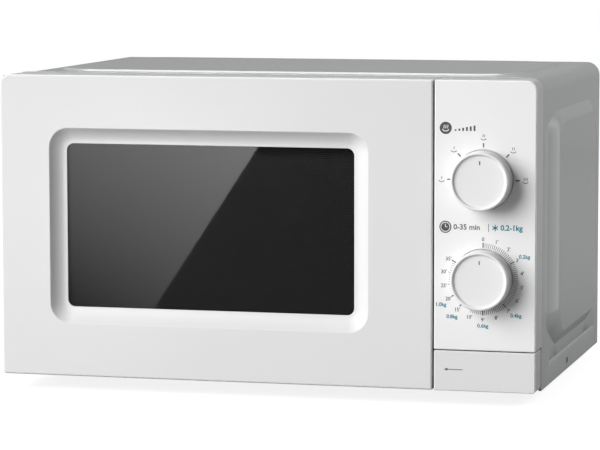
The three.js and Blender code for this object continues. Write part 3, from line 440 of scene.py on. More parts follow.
def clear_glass():
    finish = Finish("clear_glass", (0.86, 0.90, 0.90), 0.06)
    finish.rough(25.0, 0.03)
    finish.set("Alpha", 0.32)
    finish.bump(finish.noise(60.0), 0.0002, 0.25)
    return finish


def black_plastic():
    return moulded("black_plastic", (0.020, 0.020, 0.021), 0.5, 1800.0)


def grey_plastic():
    return moulded("grey_plastic", (0.27, 0.28, 0.29), 0.5, 1800.0)


def rubber():
    finish = Finish("rubber", (0.022, 0.022, 0.022), 0.8)
    finish.speckle(260.0, 0.25)
    finish.rough(300.0, 0.08)
    finish.bump(finish.noise(900.0), 0.0001, 0.5)
    return finish


def mica():
    """Pressed mica: flakes of brown and straw with a faint pearl gloss."""
    finish = Finish("mica", (0.45, 0.38, 0.26), 0.4)
    flakes = finish.node("TexVoronoi", Vector=finish.place, Scale=420.0)
    split = finish.node("SeparateColor", Color=flakes.outputs["Color"])
    finish.set("Base Color", finish.mix(split.outputs[0], (0.34, 0.28, 0.18), (0.58, 0.51, 0.38)))
    finish.rough(200.0, 0.12)
    return finish


def copper():
    finish = Finish("copper", (0.62, 0.26, 0.12), 0.3, 0.95)
    turns = finish.node("TexWave", Vector=finish.place, Scale=260.0, Distortion=0.4)
    turns.bands_direction = "Z"
    finish.speckle(300.0, 0.15)
    finish.rough(150.0, 0.08)
    finish.bump(turns.outputs["Fac"], 0.0002, 0.6)
    return finish


def aluminium():
    """Mill finish: fine lines along the rolling direction."""
    finish = Finish("aluminium", (0.62, 0.63, 0.64), 0.32, 0.95)
    finish.rough(900.0, 0.10, stretch=(1, 0.04, 1))
    finish.speckle(60.0, 0.05)
    return finish


def circuit_board():
    finish = Finish("circuit_board", (0.03, 0.14, 0.05), 0.35)
    tracks = finish.node("TexBrick", Vector=finish.place, Scale=140.0)
    finish.set("Base Color", finish.mix(tracks.outputs["Fac"], (0.02, 0.11, 0.035), (0.06, 0.22, 0.09)))
    finish.rough(200.0, 0.08)
    return finish


def spring_steel():
    finish = Finish("spring_steel", (0.42, 0.43, 0.44), 0.28, 0.95)
    finish.rough(1500.0, 0.08)
    finish.speckle(500.0, 0.08)
    return finish


def print_ink(name, color):
    finish = Finish(name, color, 0.55)
    finish.speckle(700.0, 0.10)
    finish.rough(400.0, 0.05)
    return finish


METALS = (zinc_steel, screen_steel, copper, aluminium, spring_steel)
PAINTS = (silver_paint, cavity_paint)
PLASTICS = (white_plastic, black_plastic, grey_plastic, rubber, circuit_board)
MINERALS = (dark_glass, clear_glass, mica)
MATERIALS = {make.__name__: make().material for make in METALS + PAINTS + PLASTICS + MINERALS}
FRONT_PLASTIC = fascia_plastic("front_plastic", FRONT_WHITE).material
# The door and button copies carry painted shade: their whites are darker than the front's.
DOOR_PLASTIC = fascia_plastic("door_plastic", DOOR_SHADED_WHITE, WINDOW_MIDDLE, WINDOW_REACH).material
BUTTON_PLASTIC = fascia_plastic("button_plastic", BUTTON_SHADED_WHITE).material
GREY_INK = print_ink("grey_ink", (0.085, 0.09, 0.095)).material
TEAL_INK = print_ink("teal_ink", (0.02, 0.22, 0.30)).material
WHITE_INK = print_ink("white_ink", (0.84, 0.84, 0.84)).material

# ---------- mesh tools

CORNER_STEPS = 7
SHARP = 38  # degrees: a sharper fold than this stays a hard edge
MERGE_WITHIN = 1e-6
SHORTEST_EDGE = 1e-7
BAR_SIDES = 32
FLAT_WEIGHT = 80  # how far large faces outweigh small ones in the shading


def arc(centre, radius, start, end, steps):
    """Points of an arc in the plane of a profile, angles in degrees."""
    points = []
    for i in range(steps + 1):
        angle = math.radians(start + (end - start) * i / steps)
        points.append((centre[0] + radius * math.cos(angle), centre[1] + radius * math.sin(angle)))
    return points


def outline(x, z, radii, steps=CORNER_STEPS):
    """Points round a rectangle in XZ with its own radius at each corner, from the bottom left on."""
    (x0, x1), (z0, z1) = x, z
    signs = ((1, 1, x0, z0, 180), (-1, 1, x1, z0, 270), (-1, -1, x1, z1, 0), (1, -1, x0, z1, 90))
    points = []
    for (sx, sz, cx, cz, start), radius in zip(signs, radii):
        points += arc((cx + sx * radius, cz + sz * radius), radius, start, start + 90, steps)
    return points


def ring(points, y):
    return [(x, y, z) for x, z in points]


def skin(loops, close=False, cap_first=False, cap_last=False, wrap=True):
    """Vertices and quads over rings that hold the same number of points."""
    count = len(loops[0])
    points = [point for loop in loops for point in loop]
    faces = []
    pairs = list(zip(range(len(loops)), range(1, len(loops))))
    if close:
        pairs.append((len(loops) - 1, 0))
    for a, b in pairs:
        for i in range(count if wrap else count - 1):
            j = (i + 1) % count
            faces.append((a * count + i, a * count + j, b * count + j, b * count + i))
    if cap_first:
        faces.append(tuple(range(count)))
    if cap_last:
        start = (len(loops) - 1) * count
        faces.append(tuple(reversed(range(start, start + count))))
    return points, faces


def capped(loops):
    """A closed body over rings, with a cap on the first and on the last."""
    return skin(loops, cap_first=True, cap_last=True)


def joined(*parts):
    """Several shapes as one."""
    points, faces = [], []
    for part_points, part_faces in parts:
        start = len(points)
        points += part_points
        faces += [tuple(start + i for i in face) for face in part_faces]
    return points, faces


def made(name, shape):
    """A mesh object from millimetre points, with doubled points merged and its faces turned out."""
    points, faces = shape
    mesh = bpy.data.meshes.new(name)
    mesh.from_pydata([placed(point) for point in points], [], faces)
    cleaned(mesh)
    return in_scene(name, mesh)


def cleaned(mesh):
    work = bmesh.new()
    work.from_mesh(mesh)
    bmesh.ops.remove_doubles(work, verts=work.verts, dist=MERGE_WITHIN)
    bmesh.ops.dissolve_degenerate(work, edges=work.edges, dist=SHORTEST_EDGE)
    bmesh.ops.recalc_face_normals(work, faces=work.faces)
    work.to_mesh(mesh)
    work.free()


def evaluated_mesh(obj):
    bpy.context.view_layer.update()
    graph = bpy.context.evaluated_depsgraph_get()
    return bpy.data.meshes.new_from_object(obj.evaluated_get(graph))


def applied(obj):
    """Bakes an object's modifiers into its mesh."""
    mesh = evaluated_mesh(obj)
    obj.modifiers.clear()
    obj.data = mesh


def carved(obj, *tools, operation="DIFFERENCE"):
    """Cuts the tools out of an object, or joins them to it, and removes them."""
    for tool in tools:
        change = obj.modifiers.new("carve", "BOOLEAN")
        change.operation = operation
        change.solver = "EXACT"
        change.object = tool
        applied(obj)
        bpy.data.objects.remove(tool)
    return obj


def brick(x, y, z, radius=0.05):
    """A box from its limits in millimetres, as a tool for carving or joining."""
    points = outline(x, z, [radius] * 4, 3)
    return made("tool", capped([ring(points, depth) for depth in y]))


def bar(axis, radius, span, at):
    """A round bar along y or z, as a tool for carving or joining."""
    loops = []
    for s in span:
        loop = []
        for i in range(BAR_SIDES):
            angle = 2 * math.pi * i / BAR_SIDES
            u, v = at[0] + radius * math.cos(angle), at[1] + radius * math.sin(angle)
            loop.append({"y": (u, s, v), "z": (u, v, s)}[axis])
        loops.append(loop)
    return made("tool", capped(loops))


def shaded(obj, sharp=SHARP):
    """Smooth shading that keeps real edges sharp and flat faces flat."""
    work = bmesh.new()
    work.from_mesh(obj.data)
    for face in work.faces:
        face.smooth = True
    for edge in work.edges:
        edge.smooth = len(edge.link_faces) == 2 and edge.calc_face_angle(0) < math.radians(sharp)
    work.to_mesh(obj.data)
    work.free()
    normals = obj.modifiers.new("normals", "WEIGHTED_NORMAL")
    normals.keep_sharp = True
    normals.weight = FLAT_WEIGHT
    return obj


def finished(obj, slot, body, *nodes, material=None):
    """Gives a piece its material and the body it moves with, and hides the CAD nodes it stands for."""
    obj.data.materials.clear()
    obj.data.materials.append(material or MATERIALS[slot])
    if nodes:
        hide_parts(*nodes)
    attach(obj, body)


def lathe(profile, centre, axis, steps):
    """A profile of (radius, height) turned about the y or z axis through centre."""
    cx, cy, cz = centre
    loops = []
    for i in range(steps):
        angle = 2 * math.pi * i / steps
        c, s = math.cos(angle), math.sin(angle)
        loop = []
        for r, h in profile:
            offset = {"y": (r * c, h, r * s), "z": (r * c, r * s, h)}[axis]
            loop.append((cx + offset[0], cy + offset[1], cz + offset[2]))
        loops.append(loop)
    return skin(loops, close=True, wrap=False)


# ---------- door

TOP_CORNER = 7.5
BOTTOM_CORNER = 2.5
SMALL_CORNER = 0.8
EDGE_ROUND = 1.6
BEVEL_DEPTH = 7.2  # depth at the foot of the slope
GLASS_DEPTH = 8.0  # depth at the end of the small step behind it
STEP_WIDTH = 1.5
STEP_WALL = 0.3  # the flat part of the step, behind its rounding
BEVEL_CURVE = 1.9
BEVEL_STEPS = 12
LIP_ROUND = 1.1
LIP_STEPS = 4
DOOR_WALL = 3
HINGE_ROUND = 9  # the door's left back edge turns about the hinge
HINGE_STEPS = 8
HINGE_Y = 19
HINGE_X = DOOR_LEFT + HINGE_ROUND
HINGES = (  # heights of arm, pin and boss, above and below
    ((236, 239.5), (227, 237), (222, FRONT_TOP - 1)),
    ((4.5, 8), (7, 17), (1, 22)),
)
HINGE_GAP = 0.5
HINGE_BORE = 3.0
BOSS_X = (DOOR_LEFT + 2, HINGE_X + 9)
BOSS_Y = (DOOR_WALL - 1, FASCIA_BACK - 0.5)
ARM_SLOT_X = (DOOR_LEFT - 1, HINGE_X + 5)
ARM_SLOT_Y = (HINGE_Y - 6.5, FASCIA_BACK + 1)
GLASS_SEAT = GLASS_LAP + 0.3
SEAT_BACK = 11.6
WINDOW_RIM = GLASS_LAP + 2


def rounded_edge(radius, steps=5):
    """(inset, depth) pairs round an edge, from the side wall to the face."""
    pairs = []
    for i in range(steps + 1):
        angle = math.pi / 2 * i / steps
        pairs.append((radius * (1 - math.cos(angle)), radius * (1 - math.sin(angle))))
    return pairs


def door_ring(inset, y, left_inset=0.0):
    corners = (BOTTOM_CORNER, SMALL_CORNER, SMALL_CORNER, TOP_CORNER)
    radii = [max(corner - inset, 0.3) for corner in corners]
    x = (DOOR_LEFT + inset + left_inset, DOOR_RIGHT - inset)
    return ring(outline(x, (inset, FRONT_TOP - inset), radii), y)


def window_ring(spread, y, corner=5.0, share=0.8):
    spans = (widened(WINDOW_X, spread), widened(WINDOW_Z, spread))
    return ring(outline(*spans, [corner + spread * share] * 4), y)


def bevel_rings():
    """The window's surround: a rounded lip, a hollow slope and a small rounded step to the glass."""
    run = BEVEL_WIDTH - STEP_WIDTH
    slope = math.atan(BEVEL_DEPTH * BEVEL_CURVE / run)
    rings = []
    for i in range(LIP_STEPS + 1):
        angle = slope * i / LIP_STEPS
        spread = BEVEL_WIDTH + LIP_ROUND * (math.tan(slope / 2) - math.sin(angle))
        rings.append(window_ring(spread, LIP_ROUND * (1 - math.cos(angle))))
    for i in range(1, BEVEL_STEPS + 1):
        t = i / BEVEL_STEPS
        if t * run < LIP_ROUND:
            continue
        rings.append(window_ring(BEVEL_WIDTH - run * t, BEVEL_DEPTH * (1 - (1 - t) ** BEVEL_CURVE)))
    radius = GLASS_DEPTH - BEVEL_DEPTH - STEP_WALL
    for fall, left in rounded_edge(radius)[1:]:
        rings.append(window_ring(STEP_WIDTH - radius + left, BEVEL_DEPTH + fall))
    rings.append(window_ring(STEP_WIDTH - radius, GLASS_DEPTH))
    return rings


def hinge_side_rings():
    """The door's left back edge, round about the hinge, from the back to the left wall."""
    rings = [door_ring(0, FASCIA_BACK, HINGE_ROUND)]
    for left, depth in rounded_edge(HINGE_ROUND, HINGE_STEPS)[-2::-1]:
        rings.append(door_ring(0, HINGE_Y + HINGE_ROUND - depth, left))
    return rings


def inner_door_rings():
    """Seen from inside: the seat of the glass, the window's rim and the hollow behind the frame."""
    inner_left = HINGE_ROUND - DOOR_WALL
    return [
        window_ring(GLASS_SEAT, GLASS_DEPTH, 1.0, 0),
        window_ring(GLASS_SEAT, SEAT_BACK, 1.0, 0),
        window_ring(WINDOW_RIM, SEAT_BACK, 1.5, 0),
        window_ring(BEVEL_WIDTH + 4, DOOR_WALL),
        door_ring(DOOR_WALL, DOOR_WALL, inner_left),
        door_ring(DOOR_WALL, FASCIA_BACK, inner_left),
    ]


def door_shell():
    rings = hinge_side_rings()
    rings += [door_ring(inset, y) for inset, y in rounded_edge(EDGE_ROUND)]
    rings += bevel_rings() + inner_door_rings()
    shell = made("door_shell", skin(rings, close=True))
    for _, _, boss in HINGES:
        carved(shell, brick(BOSS_X, BOSS_Y, boss), operation="UNION")
    for arm, pin, _ in HINGES:
        slot = brick(ARM_SLOT_X, ARM_SLOT_Y, widened(arm, HINGE_GAP))
        bore = bar("z", HINGE_BORE, widened(pin, HINGE_GAP), (HINGE_X, HINGE_Y))
        carved(shell, slot, bore)
    finished(shaded(shell), "white_plastic", "door", "door_frame", material=DOOR_PLASTIC)


# ---------- control panel and button

PANEL_X, _, (_, BUTTON_TOP) = measured("open_button")
PANEL_BOTTOM = 32.5
PANEL_WALL = 2.5
PANEL_DEPTH = 3.0  # thickness of the panel's face
PANEL_ROUND = 1.0
PANEL_CORNERS = (0.6, 0.8, TOP_CORNER, 0.8)
GUIDE_GAP = 2.6  # from the button's outline to the guide round it
GUIDE_WALL = 2
GUIDE_Y = (10, FASCIA_BACK)
WEB_FRONT = 20
BUTTON_WALL = 2
BUTTON_DEPTH = 2.5  # thickness of the button's face
BUTTON_ROUND = 0.9
BUTTON_SKIRT = 24.4
BUTTON_CORNERS = (0.8, BOTTOM_CORNER, 0.6, 0.6)
RELIEF_FRONT = 12  # from here back, the skirt's top is cut away
RELIEF_FALL = 6
PUSH_ROD = ((151, 155), (2, 35.7), (14.5, 17.5))
ROD_HOLE = ((149.5, 156.5), (WEB_FRONT, 40), (13, 19))
KNOB_X = 178
KNOB_HEIGHTS = {"power": 166.6, "timer": 89.0}
SHAFT_HOLE = 3.8
GROOVE_RING = (1.4, 0.6)  # from the knob's radius inwards and outwards
RING_DEPTH = 1.7


def moulding(name, x, z, corners, wall, depth, back, edge):
    """A face with rounded edges and a skirt round it: depth is the face's, back is the skirt's end."""

    def outline_ring(inset, y):
        radii = [max(corner - inset, 0.25) for corner in corners]
        return ring(outline(widened(x, -inset), widened(z, -inset), radii), y)

    rings = [outline_ring(wall, depth), outline_ring(wall, back), outline_ring(0, back)]
    rings += [outline_ring(inset, y) for inset, y in rounded_edge(edge)]
    return made(name, capped(rings))


def ring_groove(z):
    """The ring-shaped groove that a knob's skirt runs in."""
    inner, outer = KNOB_RADIUS - GROOVE_RING[0], KNOB_RADIUS + GROOVE_RING[1]
    profile = [(inner, -1), (outer, -1), (outer, RING_DEPTH), (inner, RING_DEPTH)]
    return made("tool", lathe(profile + profile[:1], (KNOB_X, 0, z), "y", KNOB_SIDES))


def button_guide():
    """The box behind the panel that the button's skirt slides over, open to the front."""
    x, z = widened(PANEL_X, -GUIDE_GAP), (GUIDE_GAP, BUTTON_TOP - GUIDE_GAP)
    guide = brick(x, GUIDE_Y, z)
    hollow_y = (GUIDE_Y[0] - 1, GUIDE_Y[1] - 3)
    return carved(guide, brick(widened(x, -GUIDE_WALL), hollow_y, widened(z, -GUIDE_WALL)))


def guide_web():
    """The web that holds the guide on the panel's lower wall."""
    z = (BUTTON_TOP - GUIDE_GAP - 1, PANEL_BOTTOM + 1)
    return brick(widened(PANEL_X, -GUIDE_GAP), (WEB_FRONT, FASCIA_BACK), z)


def control_fascia():
    z = (PANEL_BOTTOM, FRONT_TOP)
    sizes = (PANEL_CORNERS, PANEL_WALL, PANEL_DEPTH, FASCIA_BACK, PANEL_ROUND)
    panel = moulding("control_fascia", PANEL_X, z, *sizes)
    carved(panel, button_guide(), guide_web(), operation="UNION")
    heights = KNOB_HEIGHTS.values()
    tools = [bar("y", SHAFT_HOLE, (-1, PANEL_DEPTH + 1), (KNOB_X, height)) for height in heights]
    tools += [ring_groove(height) for height in heights]
    carved(panel, *tools, brick(*ROD_HOLE))
    finished(shaded(panel), "white_plastic", "chassis", "control_panel", material=FRONT_PLASTIC)


def open_button():
    sizes = (BUTTON_CORNERS, BUTTON_WALL, BUTTON_DEPTH, BUTTON_SKIRT, BUTTON_ROUND)
    cap = moulding("open_button_cap", PANEL_X, (0, BUTTON_TOP), *sizes)
    relief_y = (RELIEF_FRONT, BUTTON_SKIRT + 1)
    relief_z = (BUTTON_TOP - RELIEF_FALL, BUTTON_TOP + 1)
    carved(cap, brick(widened(PANEL_X, -BUTTON_WALL), relief_y, relief_z))
    carved(cap, brick(*PUSH_ROD), operation="UNION")
    finished(shaded(cap), "white_plastic", "open_button", "open_button", material=BUTTON_PLASTIC)


# ---------- knobs

KNOB_RADIUS = 23.3
KNOB_SIDES = 96
KNOB_PROUD = -measured("power_knob")[1][0]
KNOB_CLEARANCE = 0.8  # inside the skirt, which runs in the panel's groove
SKIRT_INSET = 1.0
BAND = (-0.6, 3.0)  # the widest part of the wall, as heights over the panel
BAND_RISE = 0.2
WALL_TOP = 10.6
RIM_RADIUS = 1.3
RIM_MIDDLE = KNOB_RADIUS - 1.6
DISH_DEPTH = 1.7
SOCKET_RADIUS = 3.3
SOCKET_DEPTH = 11.3
POINTER = (12.8, 15.8)
POINTER_WIDTH = 0.9
POINTER_DEPTH = DISH_DEPTH + 0.2


def knob_profile():
    """Half section of a knob as (radius, height): foot, wall with a fine step, rim, dish, socket."""
    wall = KNOB_RADIUS - BAND_RISE
    skirt = KNOB_RADIUS - SKIRT_INSET
    low, high = BAND
    points = [(SOCKET_RADIUS, KNOB_CLEARANCE), (skirt, KNOB_CLEARANCE), (skirt, low - BAND_RISE)]
    points += [(wall, low - BAND_RISE), (KNOB_RADIUS, low), (KNOB_RADIUS, high), (wall, high + 0.3)]
    points += [(wall, WALL_TOP), (wall - 0.4, WALL_TOP + 0.4), (wall - 0.4, WALL_TOP + 1.0)]
    points += arc((RIM_MIDDLE, KNOB_PROUD - RIM_RADIUS), RIM_RADIUS, 0, 150, 14)
    edge = RIM_MIDDLE - RIM_RADIUS
    floor = KNOB_PROUD - DISH_DEPTH
    points += [(edge - 0.05, floor + 0.55), (edge - 0.3, floor + 0.2), (edge - 0.8, floor)]
    points += [(edge - 2.5, floor - 0.1), (edge * 0.5, floor - 0.25), (0, floor - 0.3)]
    return points + [(0, SOCKET_DEPTH), (SOCKET_RADIUS, SOCKET_DEPTH), (SOCKET_RADIUS, KNOB_CLEARANCE)]


def knob(which):
    z = KNOB_HEIGHTS[which]
    profile = [(r, -h) for r, h in knob_profile()]
    body = made(which + "_dial", lathe(profile, (KNOB_X, 0, z), "y", KNOB_SIDES))
    node = which + "_knob"
    finished(shaded(body), "white_plastic", node, node)
    mark = tick((KNOB_X, z), 0, *POINTER, POINTER_WIDTH, POINTER_DEPTH - KNOB_PROUD)
    pointer = made(which + "_pointer", mark)
    finished(pointer, "white_plastic", node, material=GREY_INK)


# ---------- cabinet

CABINET_HALF = 219.3
CABINET_TOP = 243.8
CABINET_FRONT = 30.0
CABINET_BOTTOM = -2.3
CABINET_BACK = measured("cabinet")[1][1]
CABINET_CORNER = 11.0
FOLD = 1.4  # outer radius of the folds at the front and the back
RIM_RISE = 1.2  # the front edge stands proud along the top
REAR_FLANGE = 14.0
REAR_FLANGE_START = 5
SHEET = 0.8
SEGMENTS = 8  # per side of each pressed panel
ARC_STEPS = 8
PLATFORM_X = (-201, 194)
PLATFORM_Y = (65, 285)
PLATFORM_CORNER = 42
PLATFORM_SLOPE = 3
PLATFORM_RISE = 1.7
FIELD_FOOT = [(50, 45), (88, 27), (250, 27), (286, 45), (286, 185), (256, 215), (88, 215), (50, 206)]
FIELD_CREST = [(84, 56), (93, 37), (244, 37), (254, 48), (254, 182), (246, 206), (93, 206), (84, 196)]
FIELD_RISE = 6
FIELD_STEPS = (-0.04, 0.0, 0.03, 0.1, 0.2, 0.32, 0.46, 0.6, 0.74, 0.88, 0.96, 1.0, 1.04)
PLATFORM_STEPS = ((-0.25, 0), (0, 0.04), (0.2, 0.16), (0.5, 0.5), (0.8, 0.84), (1, 0.96), (1.25, 1))
LIP_RISES = ((0.15, 0.35), (0.4, 0.85), (0.7, 1.0))  # distance from the fold, share of the rise
FRONT_ROUND = 0.7
FRONT_INTURN = 2.2
WRAP_SHARP = 50


def even(start, end, count=SEGMENTS):
    return [start + (end - start) * i / count for i in range(count + 1)]


def frame_points(u, v):
    """Points round a rectangle, evenly spaced, from the middle of its first side on."""
    (u0, u1), (v0, v1) = u, v
    us, vs = even(u0, u1), even(v0, v1)
    points = [(u0, value) for value in reversed(vs)][:-1]
    points += [(value, v0) for value in us][:-1]
    points += [(u1, value) for value in vs][:-1]
    points += [(value, v1) for value in reversed(us)][:-1]
    half = SEGMENTS // 2
    return points[half:] + points[:half]


def softened(polygon, cut_off):
    """A polygon with each corner replaced by four points of a smooth curve."""
    points = []
    count = len(polygon)
    for i in range(count):
        before, at, after = (Vector(polygon[(i + k) % count]) for k in (-1, 0, 1))
        reach = [min(cut_off, (other - at).length * 0.3) for other in (before, after)]
        start = at + (before - at).normalized() * reach[0]
        end = at + (after - at).normalized() * reach[1]
        for t in (0, 1 / 3, 2 / 3, 1):
            point = start * (1 - t) ** 2 + at * 2 * t * (1 - t) + end * t**2
            points.append(tuple(point))
    return points


def side_panel(side):
    """A side wall with its pressed field: steep above and below, easing out at the front and back."""
    wall = side * CABINET_HALF
    y = (CABINET_FRONT + FOLD, CABINET_BACK - FOLD)
    z = (CABINET_BOTTOM, CABINET_TOP - CABINET_CORNER)
    foot, crest = softened(FIELD_FOOT, 7), softened(FIELD_CREST, 9)
    rings = [[(wall, u, v) for u, v in frame_points(y, z)]]
    for t in FIELD_STEPS:
        loop = []
        for (u0, v0), (u1, v1) in zip(foot, crest):
            along = (u1 - u0) ** 2 / ((u1 - u0) ** 2 + (v1 - v0) ** 2)
            s = min(max(t, 0), 1)
            height = (1 - along) * s + along * (1 - (1 - s) ** 2)
            loop.append((wall + side * FIELD_RISE * height, u0 + (u1 - u0) * t, v0 + (v1 - v0) * t))
        rings.append(loop)
    return skin(rings, cap_last=True)


def top_panel():
    x = (-CABINET_HALF + CABINET_CORNER, CABINET_HALF - CABINET_CORNER)
    y = (CABINET_FRONT + FOLD, CABINET_BACK - FOLD)
    rings = [[(u, v, CABINET_TOP) for u, v in frame_points(x, y)]]
    for t, height in PLATFORM_STEPS:
        inset = PLATFORM_SLOPE * t
        span = (widened(PLATFORM_X, -inset), widened(PLATFORM_Y, -inset))
        loop = outline(*span, [PLATFORM_CORNER - inset] * 4, SEGMENTS - 1)
        rings.append([(u, v, CABINET_TOP + PLATFORM_RISE * height) for u, v in loop])
    return skin(rings, cap_last=True)


def wrap_path(inset, y, rise=0.0):
    """Points over the cabinet's section, from the right foot over the top to the left foot."""
    half, top = CABINET_HALF - inset, CABINET_TOP - inset
    radius = max(CABINET_CORNER - inset, 0.5)
    base = CABINET_TOP - CABINET_CORNER
    right = [(half, min(z, top - radius)) for z in even(CABINET_BOTTOM, base)]
    turn = arc((half - radius, top - radius), radius, 0, 90, ARC_STEPS)[1:]
    flat = [(x, top) for x in even(CABINET_HALF - CABINET_CORNER, 0, SEGMENTS // 2)][1:]
    path = right + turn + flat
    path += [(-x, z) for x, z in reversed(path[:-1])]
    points = []
    for x, z in path:
        lift = rise * min(max((z - base) / CABINET_CORNER, 0), 1) ** 2
        points.append((x, y, z + lift))
    return points


def corner_strip(side):
    """The long rounded edge between the top and one side."""
    centre = (CABINET_HALF - CABINET_CORNER, CABINET_TOP - CABINET_CORNER)
    lines = []
    for x, z in arc(centre, CABINET_CORNER, 0, 90, ARC_STEPS):
        lines.append([(side * x, y, z) for y in even(CABINET_FRONT + FOLD, CABINET_BACK - FOLD)])
    return skin(lines, wrap=False)


def front_fold():
    """The rolled front edge: it stands proud of the top and turns in towards the oven."""
    behind = CABINET_FRONT + FOLD
    paths = [wrap_path(0, behind)]
    for forward, share in LIP_RISES:
        paths.append(wrap_path(0, behind - forward, share * RIM_RISE))
    for inset, depth in rounded_edge(FRONT_ROUND)[1:]:
        paths.append(wrap_path(inset, CABINET_FRONT + depth, RIM_RISE))
    paths.append(wrap_path(FRONT_INTURN, CABINET_FRONT, RIM_RISE))
    return skin(paths, wrap=False)


def rear_fold():
    """The rounded rear edge and the flange that turns in behind it."""
    paths = [wrap_path(0, CABINET_BACK - FOLD)]
    paths += [wrap_path(inset, CABINET_BACK - depth) for inset, depth in rounded_edge(FOLD)[1:]]
    paths += [wrap_path(inset, CABINET_BACK) for inset in (REAR_FLANGE_START, REAR_FLANGE)]
    return skin(paths, wrap=False)


GROOVE_Y = (61, 292)
GROOVE_Z = (11.9, 16.0, 17.6)  # lower edge, deepest line, upper edge
GROOVE_DEPTH = 1.0
GROOVE_END = 4  # the groove fades out over this length
TOOL_RISE = 0.3  # how far the tool stands out of the side
BULGE_FOOT = 12.3
SIDE_HOLE_Y = (148.8, 154.6)
SIDE_HOLE_Z = (2.6, 7.2)


def on_side(side, inner, outer):
    """Limits along X between two distances from the middle, on the given side."""
    return (inner, outer) if side > 0 else (-outer, -inner)


def groove_tool(side):
    """A long three-sided wedge that narrows to nothing at both ends."""
    low, deep, high = GROOVE_Z
    front, back = GROOVE_Y
    loops = []
    for y, share in ((front, 0), (front + GROOVE_END, 1), (back - GROOVE_END, 1), (back, 0)):
        depth = share * (GROOVE_DEPTH + TOOL_RISE) - TOOL_RISE * 0.9
        spread = 0.2 + 0.8 * share
        section = [(TOOL_RISE, low), (-depth, deep), (TOOL_RISE, high)]
        loop = [(side * (CABINET_HALF + out), y, deep + (z - deep) * spread) for out, z in section]
        loops.append(loop)
    return made("tool", capped(loops))


def pressed_groove(wrap, side):
    """A groove pressed into a side: the sheet bulges inwards behind it."""
    bulge_x = on_side(side, CABINET_HALF - GROOVE_DEPTH - SHEET, CABINET_HALF - 0.4)
    bulge = brick(bulge_x, widened(GROOVE_Y, 1), (BULGE_FOOT, GROOVE_Z[2] + 0.6), 0.4)
    carved(wrap, bulge, operation="UNION")
    carved(wrap, groove_tool(side))


def side_hole(side):
    return brick(on_side(side, CABINET_HALF - 3, CABINET_HALF + 1), SIDE_HOLE_Y, SIDE_HOLE_Z, 1.0)


def cabinet_wrap():
    """One bent sheet: both sides, the top and the edges between them, given its thickness."""
    panels = [side_panel(1), side_panel(-1), top_panel(), corner_strip(1), corner_strip(-1)]
    wrap = made("cabinet_wrap", joined(*panels, front_fold(), rear_fold()))
    thick = wrap.modifiers.new("sheet", "SOLIDIFY")
    thick.thickness = SHEET * MM
    thick.offset = -1
    thick.use_even_offset = True
    applied(wrap)
    for side in (1, -1):
        pressed_groove(wrap, side)
        carved(wrap, side_hole(side))
    finished(shaded(wrap, WRAP_SHARP), "silver_paint", "chassis", "cabinet")


# ---------- printed marks

PRINT_RISE = 0.06
PRINT_SUNK = 0.02
FIGURE_SIZE = 4.1
ROW_SIZE = 5.9
FINE_LINE = 0.38


def flat_mark(points, face=0.0):
    """A thin raised patch of ink on a flat face, from points (x, z)."""
    return capped([ring(points, face + PRINT_SUNK), ring(points, face - PRINT_RISE)])


def on_dial(centre, angle, radius):
    """A point round a centre; angles run clockwise from the top, as on a dial."""
    a = math.radians(angle)
    return centre[0] + radius * math.sin(a), centre[1] + radius * math.cos(a)


def tick(centre, angle, inner, outer, width, face=0.0):
    """A radial stroke, as on a dial."""
    a = math.radians(angle)
    along, across = (math.sin(a), math.cos(a)), (math.cos(a), -math.sin(a))
    points = []
    for r, side in ((inner, -1), (inner, 1), (outer, 1), (outer, -1)):
        points.append(tuple(centre[k] + along[k] * r + across[k] * side * width / 2 for k in (0, 1)))
    return flat_mark(points, face)


def round_points(centre, radius, start=0.0, end=360.0, steps=28):
    """Points clockwise round a centre; a full circle doesn't repeat its first point."""
    count = steps if end - start == 360 else steps + 1
    return [on_dial(centre, start + (end - start) * i / steps, radius) for i in range(count)]


def disc(centre, radius):
    return flat_mark(round_points(centre, radius))


def circle_line(centre, radius, width):
    """A circle drawn as a line, as a closed body."""
    rim = round_points(centre, radius)
    inner = round_points(centre, radius - width)
    front = -PRINT_RISE
    loops = [ring(rim, PRINT_SUNK), ring(rim, front), ring(inner, front), ring(inner, PRINT_SUNK)]
    return skin(loops, close=True)


def bow(centre, radius, width, start, end):
    """A stroke that follows part of a circle."""
    rim = round_points(centre, radius, start, end, 10)
    inner = round_points(centre, radius - width, start, end, 10)
    return flat_mark(rim + inner[::-1])


def stroke(start, end, width):
    """A straight stroke with square ends."""
    dx, dz = end[0] - start[0], end[1] - start[1]
    length = math.hypot(dx, dz)
    nx, nz = -dz / length * width / 2, dx / length * width / 2
    points = [(start[0] + nx, start[1] + nz), (end[0] + nx, end[1] + nz)]
    points += [(end[0] - nx, end[1] - nz), (start[0] - nx, start[1] - nz)]
    return flat_mark(points)


def figure(text, at, size, weight=0.05, align="CENTER"):
    """A number or unit as mesh data, set on a point (x, z) of the front face."""
    curve = bpy.data.curves.new("figure", "FONT")
    curve.body = text
    curve.size = size
    curve.align_x = align
    curve.offset = weight
    curve.align_y = "CENTER"
    curve.extrude = PRINT_RISE
    curve.resolution_u = 3
    holder = in_scene("figure", curve)
    mesh = evaluated_mesh(holder)
    points = [(at[0] + v.co.x, -v.co.z, at[1] + v.co.y) for v in mesh.vertices]
    faces = [tuple(face.vertices) for face in mesh.polygons]
    bpy.data.objects.remove(holder)
    return points, faces


def marks(name, material, *parts):
    obj = made(name, joined(*parts))
    finished(obj, "white_plastic", "chassis", material=material)


